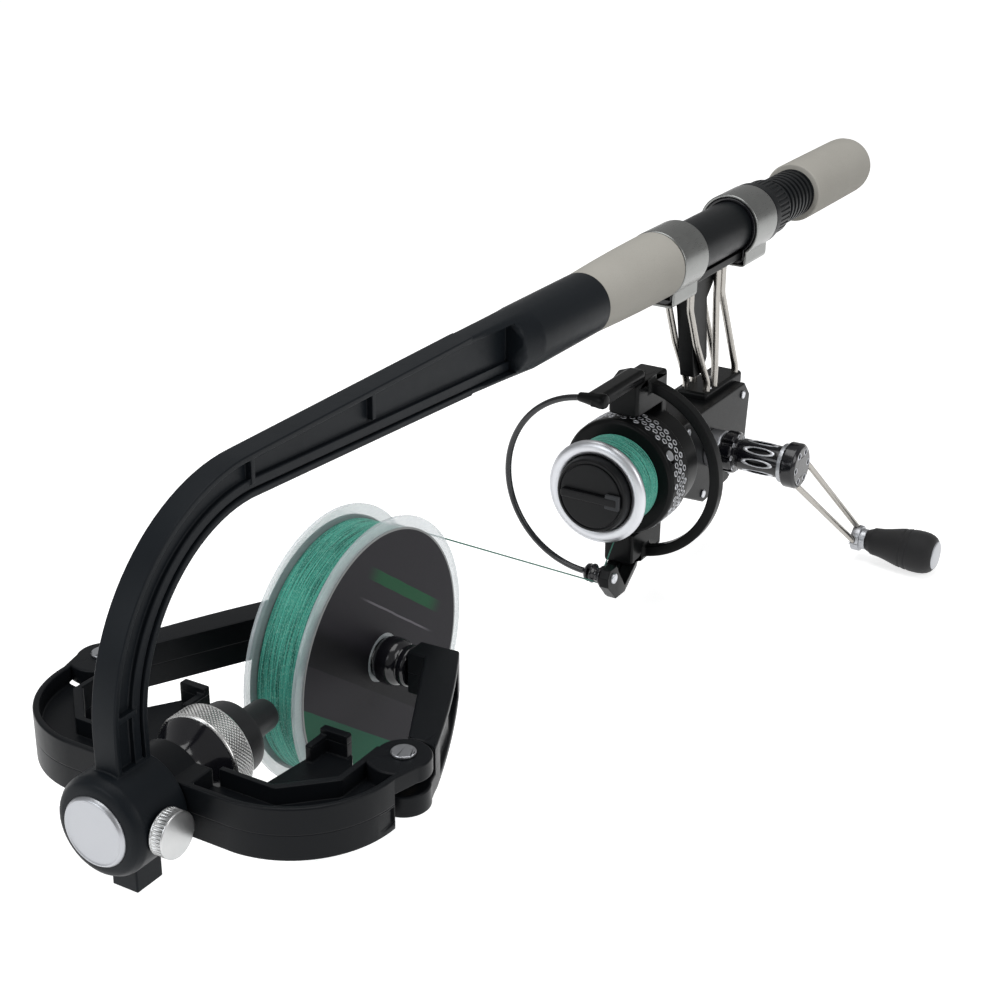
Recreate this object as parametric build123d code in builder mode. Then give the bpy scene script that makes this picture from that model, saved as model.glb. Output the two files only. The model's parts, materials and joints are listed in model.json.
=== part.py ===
"""Line winding arm with a clamped spinning reel and a bulk spool of line.

Frame: millimetres, +X along the handle towards the butt, +Z up, origin on the handle's axis at the
middle of the butt grip. The supply spool, its cones and the crank turn about lines along Y, the near
side is -Y.
"""

import os
from math import acos, atan2, cos, hypot, pi, sin, sqrt

from build123d import *

os.makedirs("parts", exist_ok=True)

# ---------------------------------------------------------------------------------------------
# Driving dimensions
# ---------------------------------------------------------------------------------------------
# Clearances
slip = 0.05  # radial gap of a turning or sliding fit
nest = 0.05  # gap of a piece that is glued or pressed inside another
gap = 0.35  # open gap between pieces that move past each other

# Handle
butt_grip_length = 76.0
butt_grip_radius = 14.1
butt_end_round = 10.0
fore_grip_length = 64.0
fore_grip_front_radius = 12.7
fore_grip_rear_radius = 14.4
tube_radius = 8.0
tube_wall = 1.2
tube_in_socket = 42.0
tube_in_butt = 62.0

# Reel seat
seat_radius = 11.5
seat_flat_height = 10.6
thread_depth = 0.8
thread_pitch = 4.2
bare_thread_length = 32.0
nut_length = 19.0
nut_radius = 13.2
nut_rim_radius = 14.4
nut_rim_length = 5.0
nut_rib_count = 36
hood_length = 22.0
hood_wall = 1.5
hood_liner_wall = 1.5
hood_gap_length = 51.0
hood_pocket_width = 14.6
hood_pocket_depth = 14.3
hood_liner_side = 0.9
hood_liner_floor = 2.2

# Winder arm
socket_length = 50.0
socket_radius = 12.7
flare_length = 40.0
beam_length = 125.5
beam_width = 9.0
beam_depth = 14.5
beam_top_height = 11.0
bend_inner_radius = 53.0
beam_end_drop = 11.4
pocket_depth = 2.4
flange_width = 2.2
rib_radius = 1.7
rib_height = 4.4
cross_rib_width = 1.8
hub_drop = 83.0
barrel_radius = 16.5
barrel_front_overhang = 6.5
barrel_rear_overhang = 1.0
lug_width = 10.0
lug_length = 11.5
lug_drop = 26.0

# Hub line
axle_radius = 5.0
axle_head_radius = 8.0
axle_head_length = 4.0
cap_radius = 11.6
cap_height = 1.4
screw_head_radius = 7.4
screw_head_length = 5.0
screw_radius = 2.4
screw_knurl_count = 40

# Yoke
yoke_height = 18.0
yoke_half_width = 66.0
yoke_corner_radius = 35.5
yoke_bar_width = 14.5
yoke_rim = 2.2
yoke_trough_depth = 6.0
collar_radius = 13.5
collar_length = 12.0
hinge_reach = 49.0
hinge_half_width = 60.4
ear_radius = 9.0
ear_height = 6.0
ledge_height = 4.0
tab_height = 8.0
tab_thickness = 3.0
pin_radius = 2.0
pin_head_radius = 4.0
pin_head_height = 1.1

# Swing arms and cones
arm_band_width = 8.0
arm_band_height = 16.0
knuckle_height = 7.6
elbow_half_width = 38.5
elbow_bar_width = 9.0
cone_axle_radius = 2.0
cone_radius = 8.5
cone_tip_radius = 3.0
cone_length = 16.4
spring_wire_radius = 0.45
spring_turns = 2.0

# Tension knob and pad
knob_travel = 2.0
post_radius = 4.4
knob_ring_radius = 16.0
knob_ring_length = 9.0
knob_cone_radius = 9.4
pad_radius = 15.0
pad_length = 27.0
pad_sleeve_radius = 7.0
pad_sleeve_length = 8.0

# Supply spool
spool_reach = 110.0
supply_radius = 50.0
supply_width = 21.0
supply_flange = 1.5
supply_drum_radius = 24.0
supply_drum_wall = 2.0
supply_bore_radius = 6.8
supply_line_radius = 44.2
supply_turns = 13
supply_wire_radius = 0.4
label_radius = 46.0
label_thickness = 0.25

# Reel, along the handle from the front hood
reel_drop = 87.0
foot_length = 73.0
foot_width = 14.0
foot_thickness = 3.4
rod_radius = 1.6
rod_half_spread = 5.2
stem_web_thickness = 7.0
crank_offset = 8.0
crank_drop = 6.5
body_front_offset = 31.0
body_length = 72.0
body_half_width = 12.5
body_wall = 2.4
body_top = 14.0
body_bottom = 32.0
side_plate_thickness = 3.0
shaft_radius = 2.2
crank_shaft_radius = 3.0
bearing_length = 3.5
bearing_radius = 6.5

# Reel spool and rotor, along the reel axis from the lip
lip_to_crank = 88.0
lip_radius = 22.9
lip_length = 4.5
lip_inner_radius = 17.2
reel_drum_radius = 15.5
reel_drum_length = 15.0
reel_line_radius = 19.2
reel_turns = 12
reel_wire_radius = 0.35
skirt_radius = 26.2
skirt_wall = 1.4
skirt_length = 16.0
skirt_hole_radius = 1.35
skirt_hole_rows = 3
skirt_holes_per_row = 14
drag_knob_length = 14.5
spool_web_inset = 11.0
rotor_cup_radius = 24.0
rotor_wall = 1.8
rotor_arm_inner = 27.6
rotor_arm_outer = 41.5
rotor_arm_width = 14.0
hoop_outer_radius = 41.5
hoop_width = 4.6
hoop_length = 5.0
bail_pivot_back = 29.5
bail_plate_thickness = 3.0
bail_arc_radius = 39.0
bail_wire_radius = 1.35
roller_radius = 4.2
roller_length = 5.0
roller_groove = 1.2

# Crank
collar_boss_radius = 8.8
collar_boss_length = 7.0
crank_flange_radius = 9.5
crank_flange_length = 6.0
crank_shank_radius = 7.3
crank_shank_length = 22.0
crank_slot_count = 8
crank_cap_radius = 10.3
crank_cap_length = 7.0
crank_arm_drop = 47.0
crank_arm_reach = 41.0
crank_rod_radius = 1.35
crank_bracket_offset = 18.0
rod_spread = 6.6  # from the arm's middle to each rod, at the cap
bracket_spread = 3.4  # and at the knob's bracket
knob_length = 32.5
knob_radius = 9.8
knob_neck_radius = 6.4
knob_end_radius = 8.4
gear_radius = 15.0
gear_teeth = 32
pinion_radius = 4.4

# Free strand of line
strand_radius = 0.3

# ---------------------------------------------------------------------------------------------
# Places along the handle, worked out from the sizes above
# ---------------------------------------------------------------------------------------------
butt_front = -butt_grip_length / 2
nut_rear = butt_front - bare_thread_length
nut_front = nut_rear - nut_length
slide_hood_front = nut_front - hood_length
fixed_hood_rear = slide_hood_front - hood_gap_length
fixed_hood_front = fixed_hood_rear - hood_length
socket_rear = fixed_hood_front - fore_grip_length
socket_front = socket_rear - socket_length
flare_front = socket_front - flare_length
bend_x = flare_front - beam_length
bend_outer_radius = bend_inner_radius + beam_depth
bend_z = beam_top_height - bend_outer_radius
leg_outer_x = bend_x - bend_outer_radius
leg_inner_x = bend_x - bend_inner_radius
hub_z = -hub_drop
barrel_front = leg_outer_x - barrel_front_overhang
barrel_rear = leg_inner_x + barrel_rear_overhang
barrel_mid = (barrel_front + barrel_rear) / 2
collar_front = barrel_rear + gap
collar_rear = collar_front + collar_length
knob_travel_room = knob_travel + 0.4
post_seat = collar_rear - knob_travel_room
hinge_x = barrel_rear + hinge_reach
spool_x = barrel_rear + spool_reach
yoke_top = hub_z + yoke_height / 2
yoke_bottom = hub_z - yoke_height / 2
pad_face = spool_x - supply_radius - gap
pad_rear = pad_face - pad_length
ring_rear = pad_rear - gap
ring_front = ring_rear - knob_ring_length
hood_inner_radius = seat_radius + slip + hood_liner_wall
hood_outer_radius = hood_inner_radius + nest + hood_wall
foot_mid = (fixed_hood_rear + slide_hood_front) / 2
foot_top = -seat_flat_height - nest
reel_z = -reel_drop
crank_x = foot_mid - crank_offset
crank_z = reel_z - crank_drop
lip_x = crank_x - lip_to_crank
drum_rear = lip_x + lip_length + reel_drum_length
skirt_rear = drum_rear + skirt_length
body_front = crank_x - body_front_offset
body_rear = body_front + body_length
rotor_back = body_front - 6.0
bail_x = lip_x + bail_pivot_back


# ---------------------------------------------------------------------------------------------
# Helpers
# ---------------------------------------------------------------------------------------------
def side_plane(y=0.0):
    """Vertical plane along the handle: first axis X, second axis Z, normal -Y."""
    return Plane(origin=(0, y, 0), x_dir=(1, 0, 0), z_dir=(0, -1, 0))


def cross_plane(x, z=0.0):
    """Plane across the handle: first axis Y, second axis Z, normal +X."""
    return Plane(origin=(x, 0, z), x_dir=(0, 1, 0), z_dir=(1, 0, 0))


def y_plane(x, y, z):
    """Plane facing +Y: first axis X, second axis -Z."""
    return Plane(origin=(x, y, z), x_dir=(1, 0, 0), z_dir=(0, 1, 0))


def turn_x(height, points, mode=Mode.ADD):
    """Turn a profile of (x, radius) points about the line along X at this height."""
    with BuildSketch(Plane(origin=(0, 0, height), x_dir=(1, 0, 0), z_dir=(0, -1, 0))) as profile:
        with BuildLine():
            Polyline(*points, close=True)
        make_face()
    revolve(profile.sketch, axis=Axis((0, 0, height), (1, 0, 0)), mode=mode)


def turn_y(x, z, points, mode=Mode.ADD):
    """Turn a profile of (y, radius) points about the line along Y through x, z."""
    with BuildSketch(Plane(origin=(x, 0, z), x_dir=(0, 1, 0), z_dir=(1, 0, 0))) as profile:
        with BuildLine():
            Polyline(*points, close=True)
        make_face()
    revolve(profile.sketch, axis=Axis((x, 0, z), (0, 1, 0)), mode=mode)


def rod_x(x_from, x_to, radius, z=0.0, y=0.0, mode=Mode.ADD):
    """Round bar along X."""
    with BuildSketch(Plane(origin=(x_from, y, z), x_dir=(0, 1, 0), z_dir=(1, 0, 0))) as end:
        Circle(radius)
    extrude(end.sketch, amount=x_to - x_from, mode=mode)


def rod_y(y_from, y_to, radius, x, z, mode=Mode.ADD):
    """Round bar along Y."""
    with BuildSketch(y_plane(x, y_from, z)) as end:
        Circle(radius)
    extrude(end.sketch, amount=y_to - y_from, mode=mode)


def rod_z(z_from, z_to, radius, x, y, mode=Mode.ADD):
    """Round bar along Z."""
    with BuildSketch(Plane(origin=(x, y, z_from))) as end:
        Circle(radius)
    extrude(end.sketch, amount=z_to - z_from, mode=mode)


def block(x_span, y_span, z_span, mode=Mode.ADD):
    """Square block between two values on each axis."""
    centre = ((x_span[0] + x_span[1]) / 2, (y_span[0] + y_span[1]) / 2, (z_span[0] + z_span[1]) / 2)
    with Locations(centre):
        Box(x_span[1] - x_span[0], y_span[1] - y_span[0], z_span[1] - z_span[0], mode=mode)


def save(builder, name):
    """Label a finished piece and write it."""
    builder.part.label = name
    export_step(builder.part, f"parts/{name}.step")


def helix_points(centre, axis, start_dir, radius, pitch, turns, steps):
    """Points and tangents on a helix about an axis, evenly spaced in angle."""
    axis = Vector(*axis).normalized()
    first = Vector(*start_dir).normalized()
    second = axis.cross(first)
    rise = pitch / (2 * pi)
    found = []
    for step in range(steps + 1):
        angle = 2 * pi * turns * step / steps
        out = first * cos(angle) + second * sin(angle)
        around = second * cos(angle) - first * sin(angle)
        point = Vector(*centre) + out * radius + axis * (rise * angle)
        tangent = (around * radius + axis * rise).normalized()
        found.append((point, tangent))
    return found


def biarc(start, start_dir, end, end_dir):
    """Two arcs that join two points smoothly with the given directions."""
    chord = end - start
    both = start_dir + end_dir
    across = chord.dot(both)
    spread = 2 * (1 - start_dir.dot(end_dir))
    reach = (sqrt(across**2 + spread * chord.dot(chord)) - across) / spread
    joint = (start + end + (start_dir - end_dir) * reach) * 0.5
    joint_dir = (joint - (start + start_dir * reach)).normalized()
    TangentArc(start, joint, tangent=start_dir)
    TangentArc(joint, end, tangent=joint_dir)


def coil(name, centre, axis, start_dir, radius, pitch, turns, wire_radius):
    """One unbroken round tube wound as a helix with short straight ends."""
    points = helix_points(centre, axis, start_dir, radius, pitch, turns, int(turns * 4))
    tail = 2 * wire_radius
    with BuildPart() as winding:
        with BuildLine() as route:
            first, first_dir = points[0]
            last, last_dir = points[-1]
            Line(first - first_dir * tail, first)
            for (here, here_dir), (there, there_dir) in zip(points, points[1:]):
                biarc(here, here_dir, there, there_dir)
            Line(last, last + last_dir * tail)
        with BuildSketch(Plane(origin=first - first_dir * tail, z_dir=first_dir)):
            Circle(wire_radius)
        sweep(path=route.wires()[0])
    print(f"{name}: {turns} turns, least gap between turns {pitch - 2 * wire_radius:.2f} mm,"
          f" volume {winding.part.volume:.1f}")
    return winding


# ---------------------------------------------------------------------------------------------
# Winder arm
# ---------------------------------------------------------------------------------------------
leg_end = hub_z + barrel_radius - 3.0
beam_low_start = beam_top_height - beam_depth


def beam_band(outer_inset, inner_inset, end_x, foot_z, width=None):
    """Side outline of the arm between two insets, from the leg's foot round the bend to end_x.

    With a width the outer edge runs at that distance from the inner one.
    """
    inner = bend_inner_radius + inner_inset
    outer = bend_outer_radius - outer_inset if width is None else inner + width
    share = (end_x - bend_x) / (socket_front - bend_x)
    top_end = beam_top_height + share * (socket_radius - beam_top_height) - outer_inset
    low_start = beam_low_start
    low_end = low_start + share * (-beam_end_drop - low_start) + inner_inset
    if width is not None:
        top_end = low_end + width
    half = sqrt(0.5)
    with BuildLine() as edge:
        Line((bend_x - outer, foot_z), (bend_x - outer, bend_z))
        ThreePointArc(
            (bend_x - outer, bend_z),
            (bend_x - outer * half, bend_z + outer * half),
            (bend_x, bend_z + outer),
        )
        Line((bend_x, bend_z + outer), (end_x, top_end))
        Line((end_x, top_end), (end_x, low_end))
        Line((end_x, low_end), (bend_x, bend_z + inner))
        ThreePointArc(
            (bend_x, bend_z + inner),
            (bend_x - inner * half, bend_z + inner * half),
            (bend_x - inner, bend_z),
        )
        Line((bend_x - inner, bend_z), (bend_x - inner, foot_z))
        Line((bend_x - inner, foot_z), (bend_x - outer, foot_z))
    make_face(edge.line)


pocket_end = flare_front + 0.68 * flare_length
pocket_floor = beam_width / 2 - pocket_depth
flare_share = (flare_front - bend_x) / (socket_front - bend_x)
flare_top = beam_top_height + flare_share * (socket_radius - beam_top_height)
flare_low = beam_low_start + flare_share * (-beam_end_drop - beam_low_start)

with BuildPart() as arm_frame:
    with BuildSketch(side_plane()):
        beam_band(0, 0, flare_front + 1.0, leg_end)
    extrude(amount=beam_width / 2, both=True)
    with BuildSketch(cross_plane(flare_front, (flare_top + flare_low) / 2)):
        RectangleRounded(beam_width, flare_top - flare_low, 1.2)
    with BuildSketch(cross_plane(socket_front)):
        Circle(socket_radius)
    loft()
    rod_x(socket_front, socket_rear, socket_radius)
    for side in (-1, 1):
        with BuildSketch(side_plane(side * pocket_floor)):
            beam_band(flange_width, flange_width, pocket_end, leg_end + 3.0)
        extrude(amount=-side * (socket_radius + 2), mode=Mode.SUBTRACT)
        with BuildSketch(side_plane(side * (pocket_floor - 0.5))):
            beam_band(0, rib_height - rib_radius, pocket_end + 1.0, leg_end, width=2 * rib_radius)
        extrude(amount=-side * (0.5 + rib_radius))
        for rib_x in (bend_x, bend_x + 0.42 * (pocket_end - bend_x)):
            block(
                (rib_x, rib_x + cross_rib_width),
                sorted((0, side * beam_width / 2)),
                (bend_z + bend_inner_radius + rib_height, beam_top_height - 1.0),
            )
        block(
            (leg_outer_x + 1.0, leg_inner_x - rib_height),
            sorted((0, side * beam_width / 2)),
            (bend_z + 6.0, bend_z + 6.0 + cross_rib_width),
        )
    turn_x(
        hub_z,
        [
            (barrel_front, 0),
            (barrel_front, barrel_radius - 3.5),
            (barrel_front + 1.0, barrel_radius - 1.4),
            (barrel_front + 3.0, barrel_radius - 0.2),
            (barrel_front + 4.2, barrel_radius),
            (barrel_rear, barrel_radius),
            (barrel_rear, 0),
        ],
    )
    block(
        (barrel_rear - 0.5 - lug_length, barrel_rear - 0.5),
        (-lug_width / 2, lug_width / 2),
        (hub_z - lug_drop, hub_z - barrel_radius + 3.0),
    )
    rod_x(socket_rear - tube_in_socket, socket_rear, tube_radius + nest, mode=Mode.SUBTRACT)
    rod_x(barrel_front, barrel_rear, axle_radius + nest, hub_z, mode=Mode.SUBTRACT)
    rod_x(barrel_front, barrel_front + axle_head_length, axle_head_radius + nest, hub_z, mode=Mode.SUBTRACT)
    rod_y(-barrel_radius - 2, -axle_radius, screw_radius + slip, barrel_mid, hub_z, mode=Mode.SUBTRACT)
save(arm_frame, "arm_frame")

with BuildPart() as hub_cap:
    turn_x(
        hub_z,
        [
            (barrel_front - cap_height, 0),
            (barrel_front - cap_height, cap_radius - 0.9),
            (barrel_front - cap_height + 0.5, cap_radius - 0.2),
            (barrel_front, cap_radius),
            (barrel_front, 0),
        ],
    )
save(hub_cap, "hub_cap")

with BuildPart() as hub_axle:
    rod_x(barrel_front + gap, barrel_front + axle_head_length - slip, axle_head_radius, hub_z)
    rod_x(barrel_front + axle_head_length - slip, post_seat - 1.0, axle_radius, hub_z)
save(hub_axle, "hub_axle")

# ---------------------------------------------------------------------------------------------
# Handle
# ---------------------------------------------------------------------------------------------
with BuildPart() as handle_tube:
    tube_span = (socket_rear - tube_in_socket, butt_front + tube_in_butt)
    rod_x(*tube_span, tube_radius)
    rod_x(*tube_span, tube_radius - tube_wall, mode=Mode.SUBTRACT)
save(handle_tube, "handle_tube")

fore_grip_swell = (fore_grip_front_radius + fore_grip_rear_radius) / 2 + 0.3
with BuildPart() as fore_grip:
    turn_x(
        0,
        [
            (socket_rear, tube_radius + nest),
            (socket_rear, fore_grip_front_radius),
            (socket_rear + 0.45 * fore_grip_length, fore_grip_swell),
            (fixed_hood_front, fore_grip_rear_radius),
            (fixed_hood_front, tube_radius + nest),
        ],
    )
save(fore_grip, "fore_grip")

with BuildPart() as seat_body:
    rod_x(fixed_hood_front, butt_front, seat_radius)
    ring_count = int((butt_front - slide_hood_front) / thread_pitch)
    for ring in range(ring_count):
        groove = butt_front - (ring + 0.75) * thread_pitch
        rod_x(groove, groove + thread_pitch / 2, seat_radius + 1, mode=Mode.SUBTRACT)
        rod_x(groove, groove + thread_pitch / 2, seat_radius - thread_depth)
    block(
        (fixed_hood_front, nut_front),
        (-seat_radius, seat_radius),
        (-seat_radius - 2, -seat_flat_height),
        mode=Mode.SUBTRACT,
    )
    rod_x(fixed_hood_front, butt_front, tube_radius + nest, mode=Mode.SUBTRACT)
save(seat_body, "seat_body")

with BuildPart() as butt_grip:
    turn_x(
        0,
        [
            (butt_front, tube_radius + nest),
            (butt_front, butt_grip_radius),
            (-butt_front - butt_end_round, butt_grip_radius),
            (-butt_front - 0.55 * butt_end_round, 0.94 * butt_grip_radius),
            (-butt_front - 0.2 * butt_end_round, 0.74 * butt_grip_radius),
            (-butt_front, 0.36 * butt_grip_radius),
            (-butt_front, 0),
            (butt_front + tube_in_butt, 0),
            (butt_front + tube_in_butt, tube_radius + nest),
        ],
    )
save(butt_grip, "butt_grip")


def hood_shell(front, outer, inner, outer_pocket, inner_pocket):
    """Ring with a bulge below it; the pocket inside the bulge takes one end of the reel foot."""
    rear = front + hood_length
    rod_x(front, rear, outer)
    with BuildSketch(cross_plane(front)) as bulge:
        with Locations((0, -outer_pocket[1] / 2)):
            RectangleRounded(2 * outer_pocket[0], outer_pocket[1], 3.0)
    extrude(bulge.sketch, amount=hood_length)
    rod_x(front, rear, inner, mode=Mode.SUBTRACT)
    block((front, rear), (-inner_pocket[0], inner_pocket[0]), (-inner_pocket[1], 0), mode=Mode.SUBTRACT)


pocket_half = hood_pocket_width / 2
liner_pocket = (pocket_half + hood_liner_side, hood_pocket_depth + hood_liner_floor)
nested_pocket = (liner_pocket[0] + nest, liner_pocket[1] + nest)
shell_pocket = (nested_pocket[0] + hood_wall, nested_pocket[1] + hood_wall)
for hood_name, front in (("fixed_hood", fixed_hood_front), ("sliding_hood", slide_hood_front)):
    with BuildPart() as hood:
        hood_shell(front, hood_outer_radius, hood_inner_radius + nest, shell_pocket, nested_pocket)
    save(hood, hood_name)
    bore = seat_radius + (nest if hood_name == "fixed_hood" else 2 * slip)
    with BuildPart() as liner:
        hood_shell(front, hood_inner_radius, bore, liner_pocket, (pocket_half, hood_pocket_depth))
    save(liner, f"{hood_name}_liner")

with BuildPart() as lock_nut:
    turn_x(
        0,
        [
            (nut_front, seat_radius + 2 * slip),
            (nut_front, nut_rim_radius - 0.6),
            (nut_front + 0.6, nut_rim_radius),
            (nut_front + nut_rim_length, nut_rim_radius),
            (nut_front + nut_rim_length + 1.2, nut_radius),
            (nut_rear - 1.0, nut_radius),
            (nut_rear, nut_radius - 0.8),
            (nut_rear, seat_radius + 2 * slip),
        ],
    )
    with BuildSketch(cross_plane(nut_front + nut_rim_length + 1.4)):
        with PolarLocations(nut_radius + 0.1, nut_rib_count):
            Circle(0.5)
    extrude(amount=nut_length - nut_rim_length - 3.0, mode=Mode.SUBTRACT)
save(lock_nut, "lock_nut")

with BuildPart() as thumb_screw:
    head_face = -barrel_radius - gap
    rod_y(head_face - screw_head_length, head_face, screw_head_radius, barrel_mid, hub_z)
    rod_y(head_face, -axle_radius - gap, screw_radius, barrel_mid, hub_z)
    with BuildSketch(y_plane(barrel_mid, head_face - screw_head_length + 0.8, hub_z)):
        with PolarLocations(screw_head_radius + 0.15, screw_knurl_count):
            Circle(0.45)
    extrude(amount=screw_head_length - 1.6, mode=Mode.SUBTRACT)
save(thumb_screw, "thumb_screw")

# ---------------------------------------------------------------------------------------------
# Yoke
# ---------------------------------------------------------------------------------------------
yoke_front = collar_front
ledge_tip = spool_x - supply_radius - 1.0


def yoke_outline(inset):
    """Plan outline of the yoke's U, drawn in by an inset."""
    corner_y = yoke_half_width - yoke_corner_radius
    corner_x = yoke_front + yoke_corner_radius
    outer = yoke_corner_radius - inset
    inner_x = yoke_front + yoke_bar_width - inset
    inner_y = yoke_half_width - 15.0 + inset
    ear_y = hinge_half_width + ear_radius - inset
    bevel = 14.0
    half = sqrt(0.5)
    for side in (-1, 1):
        with BuildLine() as edge:
            Line((yoke_front + inset, 0), (yoke_front + inset, side * corner_y))
            ThreePointArc(
                (yoke_front + inset, side * corner_y),
                (corner_x - outer * half, side * (corner_y + outer * half)),
                (corner_x, side * (yoke_half_width - inset)),
            )
            Line((corner_x, side * (yoke_half_width - inset)), (hinge_x, side * ear_y))
            Line((hinge_x, side * ear_y), (hinge_x, side * inner_y))
            Line((hinge_x, side * inner_y), (inner_x + bevel, side * inner_y))
            Line((inner_x + bevel, side * inner_y), (inner_x, side * (inner_y - bevel)))
            Line((inner_x, side * (inner_y - bevel)), (inner_x, 0))
            Line((inner_x, 0), (yoke_front + inset, 0))
        make_face(edge.line)


with BuildPart() as yoke_frame:
    with BuildSketch(Plane.XY.offset(yoke_bottom)):
        yoke_outline(0)
    extrude(amount=yoke_height)
    with BuildSketch(Plane.XY.offset(yoke_bottom)):
        for side in (-1, 1):
            with BuildLine():
                Polyline(
                    (yoke_front + yoke_bar_width - 1, side * (knob_ring_radius + 2.5)),
                    (ledge_tip, side * (knob_ring_radius + 7.5)),
                    (ledge_tip, side * (knob_ring_radius + 18.0)),
                    (hinge_x - 16, side * (yoke_half_width - 14.0)),
                    (yoke_front + yoke_bar_width - 1, side * (yoke_half_width - 26.0)),
                    close=True,
                )
            make_face()
    extrude(amount=ledge_height)
    for side in (-1, 1):
        block(
            (ledge_tip - tab_thickness, ledge_tip),
            sorted((side * (knob_ring_radius + 7.5), side * (knob_ring_radius + 18.0))),
            (yoke_bottom, yoke_bottom + ledge_height + tab_height),
        )
        block(
            (ledge_tip - 11.0, ledge_tip - 1.0),
            sorted((side * (knob_ring_radius + 7.5), side * (knob_ring_radius + 10.0))),
            (yoke_bottom, yoke_bottom + ledge_height + tab_height - 2.0),
        )
        rod_z(yoke_top - ear_height, yoke_top, ear_radius, hinge_x, side * hinge_half_width)
    rod_x(collar_front, collar_rear, collar_radius, hub_z)
    # The trough in the top, inside its rim
    with BuildSketch(Plane.XY.offset(yoke_top)):
        yoke_outline(yoke_rim)
        with Locations((hinge_x, hinge_half_width), (hinge_x, -hinge_half_width)):
            Circle(ear_radius + 3.0, mode=Mode.SUBTRACT)
        with Locations((collar_front, 0)):
            Rectangle(60, 2 * collar_radius + 6, mode=Mode.SUBTRACT)
    extrude(amount=-yoke_trough_depth, mode=Mode.SUBTRACT)
    # Room under the ears for the swing arms' knuckles and springs
    for side in (-1, 1):
        with BuildSketch(Plane.XY.offset(yoke_bottom - 1)):
            with Locations((hinge_x, side * hinge_half_width)):
                Circle(ear_radius + 2.5)
            with Locations((hinge_x, side * hinge_half_width + side * 9)):
                Rectangle(26, 18)
        extrude(amount=yoke_height - ear_height + 1, mode=Mode.SUBTRACT)
        rod_z(
            yoke_bottom, yoke_top + 1, pin_radius + nest, hinge_x, side * hinge_half_width,
            mode=Mode.SUBTRACT,
        )
        # Slot in the outer wall
        block(
            (hinge_x - 25.5, hinge_x - 13.5),
            sorted((side * (yoke_half_width - 0.8), side * (yoke_half_width + 4))),
            (yoke_bottom + 2.5, yoke_bottom + 8.0),
            mode=Mode.SUBTRACT,
        )
    # Room for the knob between the two halves of the bar, and its recess in the collar
    block(
        (collar_rear, yoke_front + yoke_bar_width + 1),
        (-knob_ring_radius - 2.0, knob_ring_radius + 2.0),
        (yoke_bottom - 1, yoke_top + 1),
        mode=Mode.SUBTRACT,
    )
    rod_x(collar_front, collar_rear, axle_radius + nest, hub_z, mode=Mode.SUBTRACT)
    rod_x(post_seat, collar_rear, knob_cone_radius + gap, hub_z, mode=Mode.SUBTRACT)
    rod_x(post_seat - 3.0, collar_rear, pad_sleeve_radius + nest, hub_z, mode=Mode.SUBTRACT)
save(yoke_frame, "yoke_frame")

with BuildPart() as hinge_pins:
    for side in (-1, 1):
        rod_z(yoke_bottom - 0.2, yoke_top, pin_radius, hinge_x, side * hinge_half_width)
        rod_z(yoke_top, yoke_top + pin_head_height, pin_head_radius, hinge_x, side * hinge_half_width)
        rod_z(yoke_bottom - 1.2, yoke_bottom - 0.2, pin_radius + 1.4, hinge_x, side * hinge_half_width)
save(hinge_pins, "hinge_pins")

with BuildPart() as tension_post:
    rod_x(post_seat - 3.0, post_seat, pad_sleeve_radius, hub_z)
    rod_x(post_seat, pad_face - 8.0, post_radius, hub_z)
    rod_x(post_seat - 3.0, post_seat - 0.9, axle_radius + nest, hub_z, mode=Mode.SUBTRACT)
save(tension_post, "tension_post")

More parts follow.
